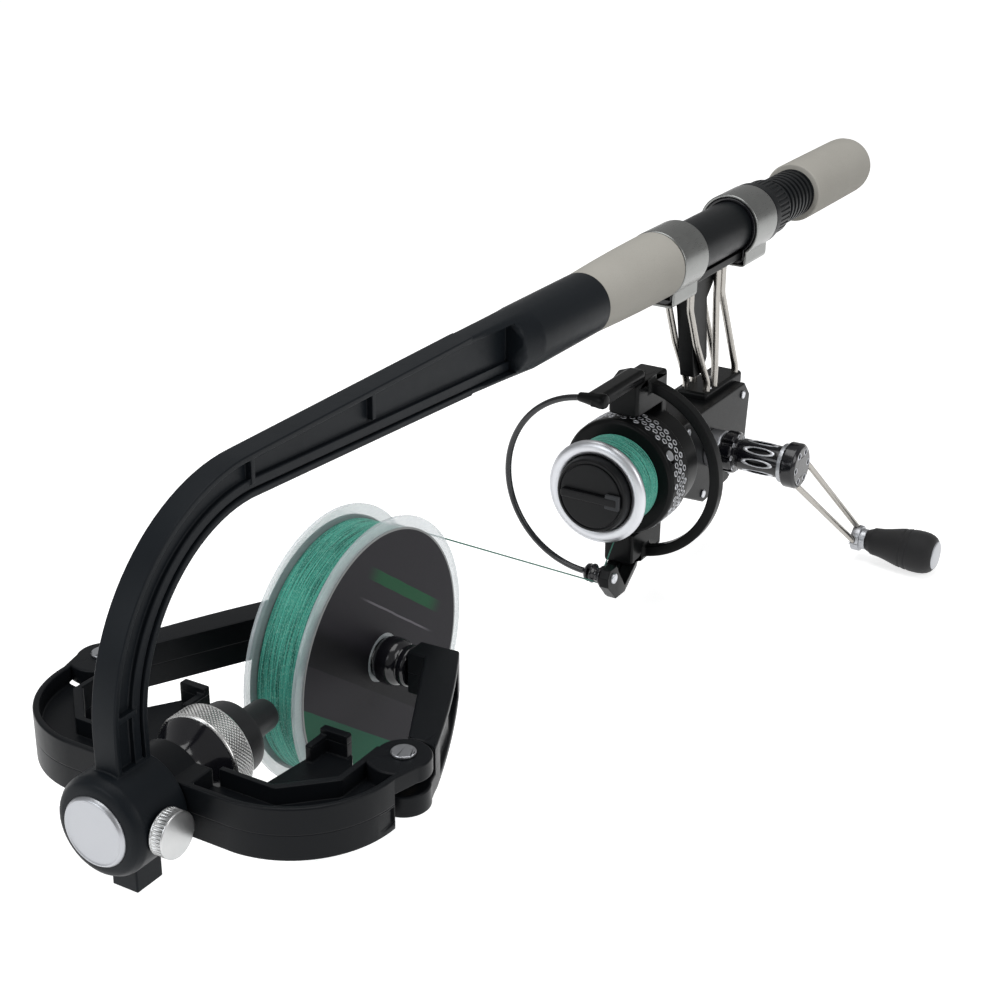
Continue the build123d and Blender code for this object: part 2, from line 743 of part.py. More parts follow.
# ---------------------------------------------------------------------------------------------
# Swing arms, springs and cones
# ---------------------------------------------------------------------------------------------
knuckle_top = yoke_bottom + 0.2 + knuckle_height
cone_back = supply_width / 2 + cone_length - 3.5
axle_end = supply_width / 2 - 1.5
for side, word in ((-1, "near"), (1, "far")):
    hinge_y = side * hinge_half_width
    with BuildPart() as swing_arm:
        with BuildSketch(Plane.XY.offset(hub_z - arm_band_height / 2)):
            with BuildLine():
                Line(
                    (hinge_x, side * (hinge_half_width + 8.6)),
                    (hinge_x + 12, side * (hinge_half_width + 4.6)),
                )
                ThreePointArc(
                    (hinge_x + 12, side * (hinge_half_width + 4.6)),
                    (hinge_x + 38, side * (hinge_half_width - 6.9)),
                    (spool_x + elbow_bar_width / 2 + 1, side * elbow_half_width),
                )
                Line(
                    (spool_x + elbow_bar_width / 2 + 1, side * elbow_half_width),
                    (spool_x + elbow_bar_width / 2, side * (cone_back + gap)),
                )
                Line(
                    (spool_x + elbow_bar_width / 2, side * (cone_back + gap)),
                    (spool_x - elbow_bar_width / 2, side * (cone_back + gap)),
                )
                Line(
                    (spool_x - elbow_bar_width / 2, side * (cone_back + gap)),
                    (spool_x - elbow_bar_width / 2, side * (elbow_half_width - arm_band_width + 0.5)),
                )
                Line(
                    (spool_x - elbow_bar_width / 2, side * (elbow_half_width - arm_band_width + 0.5)),
                    (hinge_x + 10, side * (hinge_half_width - 5.0)),
                )
                Line(
                    (hinge_x + 10, side * (hinge_half_width - 5.0)),
                    (hinge_x, side * (hinge_half_width - 6.0)),
                )
                Line((hinge_x, side * (hinge_half_width - 6.0)), (hinge_x, side * (hinge_half_width + 8.6)))
            make_face()
        extrude(amount=arm_band_height)
        rod_z(
            knuckle_top, yoke_top + 1, ear_radius + gap + 1.2, hinge_x, hinge_y, mode=Mode.SUBTRACT
        )
        rod_z(knuckle_top - knuckle_height, knuckle_top, ear_radius - 0.4, hinge_x, hinge_y)
        rod_z(yoke_bottom - 1, yoke_top, pin_radius + slip, hinge_x, hinge_y, mode=Mode.SUBTRACT)
        rod_y(
            side * (axle_end - 1), side * (elbow_half_width - 5.0), cone_axle_radius + nest, spool_x, hub_z,
            mode=Mode.SUBTRACT,
        )
        # Shallow panel in the outer side of the arm
        with BuildSketch(Plane.XY.offset(hub_z - arm_band_height / 2 + 2.6)):
            with BuildLine():
                Polyline(
                    (hinge_x + 16, side * (hinge_half_width + 6)),
                    (spool_x - 2, side * (elbow_half_width + 5)),
                    (spool_x - 2, side * (elbow_half_width + 0.2)),
                    (hinge_x + 38, side * (hinge_half_width - 8.3)),
                    (hinge_x + 16, side * (hinge_half_width + 1.0)),
                    close=True,
                )
            make_face()
        extrude(amount=arm_band_height - 5.2, mode=Mode.SUBTRACT)
    save(swing_arm, f"swing_arm_{word}")

    with BuildPart() as cone_axle:
        rod_y(side * axle_end, side * (elbow_half_width - 5.0), cone_axle_radius, spool_x, hub_z)
    save(cone_axle, f"cone_axle_{word}")

    spring_space = yoke_top - ear_height - knuckle_top
    spring_pitch = (spring_space - 2 * spring_wire_radius - 0.3) / spring_turns
    spring = coil(
        f"hinge_spring_{word}",
        (hinge_x, hinge_y, knuckle_top + 0.15 + spring_wire_radius),
        (0, 0, 1),
        (0, -side, 0),
        pin_radius + 1.4,
        spring_pitch,
        spring_turns,
        spring_wire_radius,
    )
    save(spring, f"hinge_spring_{word}")

    mouth = supply_width / 2
    with BuildPart() as cone:
        turn_y(
            spool_x,
            hub_z,
            [
                (side * (mouth - 3.5), cone_axle_radius + slip),
                (side * (mouth - 3.5), cone_tip_radius),
                (side * mouth, supply_bore_radius - gap),
                (side * (mouth + 1.7), cone_radius - 0.5),
                (side * (mouth + 3.2), cone_radius),
                (side * (mouth + 6.6), cone_radius),
                (side * (mouth + 8.6), cone_radius - 0.9),
                (side * (mouth + 9.4), cone_radius - 2.0),
                (side * (mouth + 10.0), cone_radius - 1.2),
                (side * (mouth + 12.0), cone_radius - 1.2),
                (side * cone_back, cone_radius - 1.8),
                (side * cone_back, cone_axle_radius + slip),
            ],
        )
    save(cone, f"cone_{word}")

# ---------------------------------------------------------------------------------------------
# Tension knob and pad
# ---------------------------------------------------------------------------------------------
cone_start = collar_rear + gap
with BuildPart() as tension_knob_cone:
    turn_x(
        hub_z,
        [
            (cone_start, post_radius + 2 * slip),
            (cone_start, knob_cone_radius),
            (cone_start + 2.5, knob_cone_radius),
            (ring_front - 1.5, knob_ring_radius - 1.4),
            (ring_front, knob_ring_radius - 0.6),
            (ring_front, post_radius + 2 * slip),
        ],
    )
save(tension_knob_cone, "tension_knob_cone")

with BuildPart() as tension_knob_ring:
    turn_x(
        hub_z,
        [
            (ring_front, post_radius + 2 * slip),
            (ring_front, knob_ring_radius - 0.5),
            (ring_front + 0.5, knob_ring_radius),
            (ring_rear - 0.5, knob_ring_radius),
            (ring_rear, knob_ring_radius - 0.5),
            (ring_rear, pad_sleeve_radius + slip),
            (ring_front + 0.5, pad_sleeve_radius + slip),
            (ring_front + 0.5, post_radius + 2 * slip),
        ],
    )
save(tension_knob_ring, "tension_knob_ring")

with BuildPart() as tension_pad:
    turn_x(
        hub_z,
        [
            (ring_rear - pad_sleeve_length, post_radius + 2 * slip),
            (ring_rear - pad_sleeve_length, pad_sleeve_radius),
            (pad_rear, pad_sleeve_radius),
            (pad_rear, pad_radius - 0.6),
            (pad_rear + 0.6, pad_radius),
            (pad_face - 0.8, pad_radius),
            (pad_face, pad_radius - 0.8),
            (pad_face, 0),
            (pad_face - 4.0, 0),
            (pad_face - 4.0, post_radius + 2 * slip),
        ],
    )
save(tension_pad, "tension_pad")

# ---------------------------------------------------------------------------------------------
# Supply spool
# ---------------------------------------------------------------------------------------------
inner_face = supply_width / 2 - supply_flange
with BuildPart() as supply_spool:
    turn_y(
        spool_x,
        hub_z,
        [
            (-supply_width / 2, supply_bore_radius),
            (-supply_width / 2, supply_radius),
            (-inner_face, supply_radius),
            (-inner_face, supply_drum_radius),
            (inner_face, supply_drum_radius),
            (inner_face, supply_radius),
            (supply_width / 2, supply_radius),
            (supply_width / 2, supply_bore_radius),
            (inner_face, supply_bore_radius),
            (inner_face, supply_drum_radius - supply_drum_wall),
            (-inner_face, supply_drum_radius - supply_drum_wall),
            (-inner_face, supply_bore_radius),
        ],
    )
save(supply_spool, "supply_spool")

with BuildPart() as supply_line_core:
    turn_y(
        spool_x,
        hub_z,
        [
            (-inner_face + nest, supply_drum_radius + nest),
            (-inner_face + nest, supply_line_radius),
            (inner_face - nest, supply_line_radius),
            (inner_face - nest, supply_drum_radius + nest),
        ],
    )
save(supply_line_core, "supply_line_core")

supply_pitch = (2 * inner_face - 2 * supply_wire_radius - 0.4) / supply_turns
supply_line_winding = coil(
    "supply_line_winding",
    (spool_x, -supply_pitch * supply_turns / 2, hub_z),
    (0, 1, 0),
    (0, 0, -1),
    supply_line_radius + supply_wire_radius + nest,
    supply_pitch,
    supply_turns,
    supply_wire_radius,
)
save(supply_line_winding, "supply_line_winding")

with BuildPart() as supply_labels:
    for side in (-1, 1):
        rod_y(
            side * supply_width / 2,
            side * (supply_width / 2 + label_thickness),
            label_radius,
            spool_x,
            hub_z,
        )
    rod_y(-supply_width, supply_width, cone_radius + gap, spool_x, hub_z, mode=Mode.SUBTRACT)
save(supply_labels, "supply_labels")

# ---------------------------------------------------------------------------------------------
# Reel foot, stem and body
# ---------------------------------------------------------------------------------------------
body_top_z = reel_z + body_top
foot_low = foot_top - foot_thickness
foot_front = foot_mid - foot_length / 2
foot_rear = foot_mid + foot_length / 2
web_low = body_top_z + 12.0

with BuildPart() as reel_foot:
    with BuildSketch(side_plane()):
        with BuildLine():
            Polyline(
                (foot_front, foot_top),
                (foot_rear, foot_top),
                (foot_rear, foot_top - 1.6),
                (foot_mid + hood_gap_length / 2, foot_low),
                (foot_mid - hood_gap_length / 2, foot_low),
                (foot_front, foot_top - 1.6),
                close=True,
            )
        make_face()
    extrude(amount=foot_width / 2, both=True)
    with BuildSketch(side_plane()):
        with BuildLine():
            Polyline(
                (foot_mid - 21, foot_low + 0.5),
                (foot_mid + 14, foot_low + 0.5),
                (foot_mid + 6, foot_low - 5),
                (foot_mid - 1, foot_low - 12),
                (foot_mid + 2, web_low + 6),
                (foot_mid - 2, web_low),
                (foot_mid - 11, web_low),
                (foot_mid - 17, foot_low - 17),
                (foot_mid - 20, foot_low - 5),
                close=True,
            )
        make_face()
    extrude(amount=stem_web_thickness / 2, both=True)
save(reel_foot, "reel_foot")


def bent_rod(points, bends, radius, y):
    """Round rod along bent runs in a plane beside the stem."""
    with BuildLine(side_plane(y)) as route:
        FilletPolyline(*points, radius=bends)
    path = route.wires()[0]
    with BuildSketch(Plane(origin=path @ 0, z_dir=path % 0)) as end:
        Circle(radius)
    sweep(end.sketch, path=path)


with BuildPart() as reel_stem_rods:
    for side in (-1, 1):
        spread = side * rod_half_spread
        bent_rod(
            [
                (foot_mid - 22, foot_low),
                (foot_mid - 22, foot_low - 12),
                (foot_mid - 14, foot_low - 30),
                (foot_mid - 0.5, body_top_z + 7),
                (foot_mid - 0.5, body_top_z),
            ],
            8.0,
            rod_radius,
            spread,
        )
        bent_rod(
            [
                (foot_mid + 5, foot_low),
                (foot_mid + 5, foot_low - 14),
                (foot_mid + 7.5, body_top_z + 12),
                (foot_mid + 7.5, body_top_z),
            ],
            9.0,
            rod_radius,
            spread,
        )
        bent_rod(
            [
                (foot_mid + 10.5, foot_low),
                (foot_mid + 10.5, foot_low - 12),
                (foot_mid + 30, body_top_z + 6),
                (foot_mid + 30, body_top_z),
            ],
            9.0,
            rod_radius,
            spread,
        )
save(reel_stem_rods, "reel_stem_rods")

body_low_z = reel_z - body_bottom


def body_outline(inset):
    """Side outline of the reel's gear housing."""
    with BuildLine() as edge:
        Polyline(
            (body_front + inset, body_top_z - inset),
            (body_rear - 6 - inset, body_top_z - inset),
            (body_rear - inset, body_top_z - 7 - 0.4 * inset),
            (body_rear - 3 - inset, body_low_z + 14 + 0.4 * inset),
            (body_rear - 20 - 0.6 * inset, body_low_z + 2 + inset),
            (body_front + 26 + 0.4 * inset, body_low_z + inset),
            (body_front + inset, body_low_z + 12 + 0.4 * inset),
            close=True,
        )
    make_face(edge.line)


with BuildPart() as reel_body:
    with BuildSketch(side_plane(-body_half_width)):
        body_outline(0)
    extrude(amount=-(2 * body_half_width - side_plate_thickness))
    with BuildSketch(side_plane(-body_half_width + body_wall)):
        body_outline(body_wall)
    extrude(amount=-(2 * body_half_width), mode=Mode.SUBTRACT)
    # Rear post that guides the main shaft, and the front bearing seat
    block(
        (body_rear - 14, body_rear - 10),
        (-body_half_width + 1, 5),
        (body_low_z + 12, body_top_z - 1),
    )
    rod_y(-body_half_width, -body_half_width + bearing_length + 0.5, bearing_radius + 2, crank_x, crank_z)
    rod_x(body_front - 1, body_rear - 8, shaft_radius + 2 * slip, reel_z, mode=Mode.SUBTRACT)
    rod_x(body_front, body_front + body_wall, bearing_radius + nest, reel_z, mode=Mode.SUBTRACT)
    rod_y(
        -body_half_width - 1, -body_half_width + 6, bearing_radius + nest, crank_x, crank_z,
        mode=Mode.SUBTRACT,
    )
save(reel_body, "reel_body")

plate_inner = body_half_width - side_plate_thickness
with BuildPart() as reel_side_plate:
    with BuildSketch(side_plane(plate_inner)):
        body_outline(0)
    extrude(amount=-side_plate_thickness)
    rod_y(plate_inner - 1.0, plate_inner + 1, bearing_radius + 1.5, crank_x, crank_z)
    rod_y(plate_inner - 2.0, plate_inner + 1.5, bearing_radius + nest, crank_x, crank_z, mode=Mode.SUBTRACT)
save(reel_side_plate, "reel_side_plate")

screw_spots = [
    (body_front + 5, body_top_z - 5),
    (body_rear - 9, body_top_z - 5),
    (body_rear - 20, body_low_z + 7),
    (body_front + 24, body_low_z + 5),
]
with BuildPart() as reel_body_screws:
    for side, face in ((1, body_half_width), (-1, body_half_width)):
        for spot_x, spot_z in screw_spots:
            rod_y(side * face, side * (face + 0.8), 1.9, spot_x, spot_z)
save(reel_body_screws, "reel_body_screws")

with BuildPart() as reel_bearings:
    rod_y(-body_half_width, -body_half_width + bearing_length, bearing_radius, crank_x, crank_z)
    rod_y(plate_inner - 1.0, plate_inner + 1.5, bearing_radius, crank_x, crank_z)
    rod_y(
        -body_half_width - 1, body_half_width, crank_shaft_radius + slip, crank_x, crank_z,
        mode=Mode.SUBTRACT,
    )
    rod_x(body_front, body_front + body_wall, bearing_radius, reel_z)
    rod_x(body_front - 1, body_front + 3, pinion_radius - 1.0 + slip, reel_z, mode=Mode.SUBTRACT)
save(reel_bearings, "reel_bearings")

boss_face = -body_half_width - collar_boss_length
with BuildPart() as reel_collar:
    turn_y(
        crank_x,
        crank_z,
        [
            (-body_half_width, crank_shaft_radius + 2 * slip),
            (-body_half_width, collar_boss_radius),
            (boss_face + 0.6, collar_boss_radius),
            (boss_face, collar_boss_radius - 0.8),
            (boss_face, crank_shaft_radius + 2 * slip),
        ],
    )
save(reel_collar, "reel_collar")

# ---------------------------------------------------------------------------------------------
# Crank and knob
# ---------------------------------------------------------------------------------------------
flange_front = boss_face - gap
flange_end = flange_front - crank_flange_length
shank_end = flange_end - crank_shank_length
cap_start = shank_end - 2.0
cap_end = cap_start - crank_cap_length
gear_face = 6.4
knob_x = crank_x + crank_arm_reach
knob_z = crank_z - crank_arm_drop
bracket_y = (cap_start + cap_end) / 2 - crank_bracket_offset

with BuildPart() as crank_shaft:
    rod_y(plate_inner + 1.5, flange_front, crank_shaft_radius, crank_x, crank_z)
save(crank_shaft, "crank_shaft")

with BuildPart() as drive_gear:
    rod_y(gear_face, gear_face + 1.6, gear_radius, crank_x, crank_z)
    with BuildSketch(y_plane(crank_x, gear_face, crank_z)):
        with PolarLocations(gear_radius - 1.6, gear_teeth):
            Rectangle(2.6, 1.2)
    extrude(amount=-1.2)
    rod_y(gear_face - 2, gear_face + 3, crank_shaft_radius + nest, crank_x, crank_z, mode=Mode.SUBTRACT)
save(drive_gear, "drive_gear")

with BuildPart() as crank_shank:
    turn_y(
        crank_x,
        crank_z,
        [
            (flange_front, 0),
            (flange_front, crank_flange_radius - 0.8),
            (flange_front - 0.8, crank_flange_radius),
            (flange_end + 0.8, crank_flange_radius),
            (flange_end, crank_flange_radius - 0.8),
            (flange_end, crank_shank_radius - 1.2),
            (flange_end - 1.6, crank_shank_radius - 1.2),
            (flange_end - 2.4, crank_shank_radius),
            (shank_end, crank_shank_radius),
            (shank_end, 0),
        ],
    )
    with BuildSketch(y_plane(crank_x, flange_end - 5.0, crank_z)):
        with PolarLocations(crank_shank_radius, crank_slot_count):
            Rectangle(3.0, 2.0)
    extrude(amount=-(crank_shank_length - 8.0), mode=Mode.SUBTRACT)
    with BuildSketch(y_plane(crank_x, flange_front, crank_z)):
        with PolarLocations(crank_flange_radius, crank_slot_count):
            Circle(1.3)
    extrude(amount=-crank_flange_length, mode=Mode.SUBTRACT)
save(crank_shank, "crank_shank")

with BuildPart() as crank_ring:
    rod_y(cap_start, shank_end, crank_cap_radius - 1.4, crank_x, crank_z)
save(crank_ring, "crank_ring")

arm_length = hypot(crank_arm_reach, crank_arm_drop)
arm_dir = Vector(crank_arm_reach / arm_length, 0, -crank_arm_drop / arm_length)
arm_side = Vector(-arm_dir.Z, 0, arm_dir.X)
cap_mid = Vector(crank_x, (cap_start + cap_end) / 2, crank_z)
bracket_mid = Vector(knob_x, bracket_y, knob_z)


def crank_rods(radius, mode=Mode.ADD):
    """The two straight rods between the crank's cap and the knob's bracket."""
    for side in (-1, 1):
        root = cap_mid + arm_side * (side * rod_spread) + arm_dir * 2.0
        tip = bracket_mid + arm_side * (side * bracket_spread) - arm_dir * 1.0
        run = tip - root
        with BuildSketch(Plane(origin=root, z_dir=run)) as end:
            Circle(radius)
        extrude(end.sketch, amount=run.length, mode=mode)


with BuildPart() as crank_cap:
    turn_y(
        crank_x,
        crank_z,
        [
            (cap_start, 0),
            (cap_start, crank_cap_radius - 0.8),
            (cap_start - 0.8, crank_cap_radius),
            (cap_end + 1.2, crank_cap_radius),
            (cap_end, crank_cap_radius - 1.4),
            (cap_end, 0),
        ],
    )
    with BuildSketch(y_plane(crank_x, cap_end, crank_z)):
        with PolarLocations(crank_cap_radius - 3.4, 6):
            Circle(1.5)
    extrude(amount=1.5, mode=Mode.SUBTRACT)
    crank_rods(crank_rod_radius + nest, mode=Mode.SUBTRACT)
save(crank_cap, "crank_cap")

with BuildPart() as crank_arms:
    crank_rods(crank_rod_radius)
save(crank_arms, "crank_arms")

with BuildPart() as crank_bracket:
    rod_y(bracket_y - 2.0, bracket_y + 2.0, 6.0, knob_x, knob_z)
    rod_y(bracket_y - 4.6, bracket_y - 2.0, 4.8, knob_x, knob_z)
    crank_rods(crank_rod_radius + nest, mode=Mode.SUBTRACT)
    rod_y(bracket_y - 4.6 - knob_length + 4, bracket_y - 4.6, 1.8, knob_x, knob_z)
save(crank_bracket, "crank_bracket")

knob_start = bracket_y - 4.6 - gap
knob_end = knob_start - knob_length
with BuildPart() as knob_grip:
    turn_y(
        knob_x,
        knob_z,
        [
            (knob_start, 1.8 + slip),
            (knob_start, knob_neck_radius - 1.4),
            (knob_start - 1.6, knob_neck_radius - 1.0),
            (knob_start - 2.2, knob_neck_radius),
            (knob_start - 0.3 * knob_length, knob_neck_radius + 1.3),
            (knob_start - 0.55 * knob_length, knob_radius - 0.6),
            (knob_start - 0.72 * knob_length, knob_radius),
            (knob_start - 0.88 * knob_length, knob_radius - 0.5),
            (knob_end + 0.8, knob_end_radius - 0.4),
            (knob_end, knob_end_radius - 1.6),
            (knob_end, 0),
            (knob_end + 3.0, 0),
            (knob_end + 3.0, 1.8 + slip),
        ],
    )
save(knob_grip, "knob_grip")

with BuildPart() as knob_cap:
    turn_y(
        knob_x,
        knob_z,
        [
            (knob_end, 0),
            (knob_end, knob_end_radius - 1.8),
            (knob_end - 0.6, knob_end_radius - 2.4),
            (knob_end - 0.9, 0),
        ],
    )
save(knob_cap, "knob_cap")

# ---------------------------------------------------------------------------------------------
# Rotor, bail and roller
# ---------------------------------------------------------------------------------------------
cup_front = skirt_rear - 6.0
hoop_x = bail_x + 6.0
hinge_plate = rotor_arm_outer + gap

with BuildPart() as rotor:
    turn_x(
        reel_z,
        [
            (rotor_back + 4.0, pinion_radius + nest),
            (rotor_back + 4.0, 8.0),
            (rotor_back, 9.0),
            (rotor_back, rotor_cup_radius - 2),
            (rotor_back - 2.0, rotor_cup_radius),
            (cup_front, rotor_cup_radius),
            (cup_front, rotor_cup_radius - rotor_wall),
            (rotor_back - 4.0, rotor_cup_radius - rotor_wall),
            (rotor_back - 4.0, pinion_radius + nest),
        ],
    )
    for side in (-1, 1):
        arm_z = sorted((reel_z + side * (rotor_cup_radius - 3), reel_z + side * rotor_arm_outer))
        block((rotor_back - 5.0, rotor_back), (-rotor_arm_width / 2, rotor_arm_width / 2), arm_z)
        bar_z = sorted((reel_z + side * rotor_arm_inner, reel_z + side * rotor_arm_outer))
        block((bail_x - 7.0, rotor_back), (-rotor_arm_width / 2, rotor_arm_width / 2), bar_z)
    with BuildSketch(cross_plane(hoop_x - hoop_length / 2, reel_z)):
        Circle(hoop_outer_radius)
        Circle(hoop_outer_radius - hoop_width, mode=Mode.SUBTRACT)
    extrude(amount=hoop_length)
    for side in (-1, 1):
        rod_z(
            reel_z + side * rotor_arm_inner, reel_z + side * (rotor_arm_outer + 1), 1.5 + slip, bail_x, 0,
            mode=Mode.SUBTRACT,
        )
save(rotor, "rotor")

with BuildPart() as pinion_gear:
    rod_x(rotor_back - 5.0, rotor_back + 4.0, pinion_radius, reel_z)
    rod_x(rotor_back + 4.0, body_front + body_wall + 0.6, pinion_radius - 1.0, reel_z)
    with BuildSketch(cross_plane(body_front + body_wall + 0.6, reel_z)):
        Circle(pinion_radius - 0.6)
        with PolarLocations(pinion_radius - 0.5, 9):
            Rectangle(1.0, 1.2)
    extrude(amount=8.0)
    rod_x(rotor_back - 7.0, body_front + 20, shaft_radius + slip, reel_z, mode=Mode.SUBTRACT)
save(pinion_gear, "pinion_gear")

wire_x = lip_x - 6.0
wire_mid_z = reel_z + 5.0
wire_top = wire_mid_z + bail_arc_radius
wire_low = wire_mid_z - bail_arc_radius
top_plate_low = reel_z + hinge_plate
low_plate_high = reel_z - hinge_plate
roller_y = -2.0 - roller_length / 2 - 1.0
roller_z = wire_low

with BuildPart() as bail_wire:
    with BuildSketch(side_plane()):
        with Locations((wire_x, wire_top)):
            Circle(bail_wire_radius)
    revolve(axis=Axis((wire_x, 0, wire_mid_z), (-1, 0, 0)), revolution_arc=180)
    # Small cone that the line slides off on its way to the roller
    turn_y(
        wire_x,
        wire_low,
        [
            (1.6, 0),
            (1.6, bail_wire_radius - 0.3),
            (-0.6, roller_radius - 0.5),
            (-1.6, roller_radius - 0.3),
            (-1.6, 0),
        ],
    )
save(bail_wire, "bail_wire")

with BuildPart() as bail_arms:
    # Upper arm from its pivot forward to the wire
    with BuildSketch(Plane.XY.offset(top_plate_low)):
        with BuildLine():
            Polyline((bail_x, 6.0), (bail_x + 5.5, 3.0), (bail_x + 5.5, -4.0), (bail_x, -6.0),
                     (wire_x + 2.0, -6.6), (wire_x - 3.0, -4.6), (wire_x - 3.0, -1.4), (wire_x + 5.0, -1.4),
                     close=True)
        make_face()
    extrude(amount=bail_plate_thickness)
    rod_y(-4.6, 0, bail_wire_radius + 0.9, wire_x, wire_top)
    rod_z(reel_z + rotor_arm_outer - 8, top_plate_low, 1.5, bail_x, 0)
    rod_z(top_plate_low + bail_plate_thickness, top_plate_low + bail_plate_thickness + 0.7, 2.6, bail_x, 0)
    # Lower arm from its pivot forward and round to the roller's housing
    housing_y = roller_y - roller_length / 2 - 0.5
    with BuildSketch(Plane.XY.offset(low_plate_high)):
        with BuildLine():
            Polyline(
                (bail_x + 5.0, 5.0),
                (bail_x - 2.0, 6.0),
                (wire_x + 12.0, 1.0),
                (wire_x + 3.5, housing_y + 1.0),
                (wire_x + 3.5, housing_y - 4.5),
                (wire_x + 11.0, housing_y - 4.5),
                (bail_x, -6.0),
                (bail_x + 5.0, -4.0),
                close=True,
            )
        make_face()
    extrude(amount=-bail_plate_thickness)
    rod_z(low_plate_high, reel_z - rotor_arm_outer + 8, 1.5, bail_x, 0)
    rod_z(low_plate_high - bail_plate_thickness - 0.7, low_plate_high - bail_plate_thickness, 2.6, bail_x, 0)
    with BuildSketch(side_plane(housing_y)):
        with BuildLine():
            Polyline((wire_x - 3.0, roller_z + 4.4), (wire_x + 3.0, roller_z + 4.4), (wire_x + 5.5, roller_z),
                     (wire_x + 11.0, low_plate_high), (wire_x + 11.0, low_plate_high - bail_plate_thickness),
                     (wire_x + 3.0, low_plate_high - bail_plate_thickness), (wire_x - 4.6, roller_z - 3.0),
                     (wire_x - 5.0, roller_z + 1.0), close=True)
        make_face()
    extrude(amount=4.5)
    rod_y(-1.6, housing_y, 1.4, wire_x, roller_z)
save(bail_arms, "bail_arms")

with BuildPart() as line_roller:
    turn_y(
        wire_x,
        roller_z,
        [
            (roller_y + roller_length / 2, 1.4 + slip),
            (roller_y + roller_length / 2, roller_radius),
            (roller_y + roller_length / 2 - 0.8, roller_radius),
            (roller_y + 0.6, roller_radius - roller_groove),
            (roller_y - 0.6, roller_radius - roller_groove),
            (roller_y - roller_length / 2 + 0.8, roller_radius),
            (roller_y - roller_length / 2, roller_radius),
            (roller_y - roller_length / 2, 1.4 + slip),
        ],
    )
save(line_roller, "line_roller")

# ---------------------------------------------------------------------------------------------
# Reel spool and drag knob
# ---------------------------------------------------------------------------------------------
lip_rear = lip_x + lip_length
web_x = lip_x + spool_web_inset
knob_seat = web_x - 1.0

with BuildPart() as reel_spool_lip:
    turn_x(
        reel_z,
        [
            (lip_x, lip_inner_radius),
            (lip_x - 0.6, lip_inner_radius + 1.6),
            (lip_x - 0.8, lip_radius - 2.6),
            (lip_x + 0.2, lip_radius - 0.8),
            (lip_x + 1.8, lip_radius),
            (lip_x + 3.4, lip_radius - 0.6),
            (lip_rear, lip_radius - 2.4),
            (lip_rear, lip_inner_radius),
        ],
    )
save(reel_spool_lip, "reel_spool_lip")

with BuildPart() as reel_spool:
    turn_x(
        reel_z,
        [
            (lip_x + 1.0, lip_inner_radius - nest),
            (lip_rear, lip_inner_radius - nest),
            (lip_rear, reel_drum_radius),
            (drum_rear, reel_drum_radius),
            (drum_rear, skirt_radius - 1.6),
            (drum_rear + 0.8, skirt_radius - 0.4),
            (drum_rear + 2.0, skirt_radius),
            (skirt_rear, skirt_radius),
            (skirt_rear, skirt_radius - skirt_wall),
            (drum_rear + 2.2, skirt_radius - skirt_wall),
            (drum_rear + 2.2, reel_drum_radius - 2.0),
            (web_x + 2.4, reel_drum_radius - 2.0),
            (web_x + 2.4, 6.0),
            (drum_rear - 1.0, 6.0),
            (drum_rear - 1.0, shaft_radius + nest),
            (web_x, shaft_radius + nest),
            (web_x, reel_drum_radius - 1.2),
            (lip_x + 1.0, reel_drum_radius - 1.2),
        ],
    )
    # Rows of round holes through the skirt
    row_gap = (skirt_length - 4.0) / skirt_hole_rows
    for row in range(skirt_hole_rows):
        row_x = drum_rear + 4.6 + row * row_gap
        for spot in range(skirt_holes_per_row):
            angle = 2 * pi * (spot + 0.5 * (row % 2)) / skirt_holes_per_row
            outward = Vector(0, cos(angle), sin(angle))
            origin = Vector(row_x, 0, reel_z) + outward * (skirt_radius - skirt_wall - 0.3)
            with BuildSketch(Plane(origin=origin, x_dir=(1, 0, 0), z_dir=outward)):
                Circle(skirt_hole_radius)
            extrude(amount=skirt_wall + 1.0, mode=Mode.SUBTRACT)
save(reel_spool, "reel_spool")

with BuildPart() as reel_line_core:
    turn_x(
        reel_z,
        [
            (lip_rear + nest, reel_drum_radius + nest),
            (lip_rear + nest, reel_line_radius),
            (drum_rear - nest, reel_line_radius),
            (drum_rear - nest, reel_drum_radius + nest),
        ],
    )
save(reel_line_core, "reel_line_core")

reel_pitch = (reel_drum_length - 2 * reel_wire_radius - 0.4) / reel_turns
reel_line_winding = coil(
    "reel_line_winding",
    ((lip_rear + drum_rear) / 2 - reel_pitch * reel_turns / 2, 0, reel_z),
    (1, 0, 0),
    (0, 0, -1),
    reel_line_radius + reel_wire_radius + nest,
    reel_pitch,
    reel_turns,
    reel_wire_radius,
)
save(reel_line_winding, "reel_line_winding")

with BuildPart() as main_shaft:
    rod_x(knob_seat - drag_knob_length + 5.4, body_rear - 10.0, shaft_radius, reel_z)
save(main_shaft, "main_shaft")

knob_face = knob_seat - drag_knob_length
with BuildPart() as drag_knob:
    turn_x(
        reel_z,
        [
            (knob_seat, shaft_radius + slip),
            (knob_seat, reel_drum_radius - 1.2 - gap),
            (lip_x + 1.0 - gap, reel_drum_radius - 1.2 - gap),
            (lip_x + 1.0 - gap, lip_inner_radius - gap),
            (lip_x - 0.6, lip_inner_radius - gap),
            (knob_face, lip_inner_radius - 1.4),
            (knob_face, 0),
            (knob_face + 5.0, 0),
            (knob_face + 5.0, shaft_radius + slip),
        ],
    )
    block(
        (knob_face - 2.4, knob_face),
        (-lip_inner_radius + 2.4, lip_inner_radius - 2.4),
        (reel_z - 2.4, reel_z + 2.4),
    )
save(drag_knob, "drag_knob")

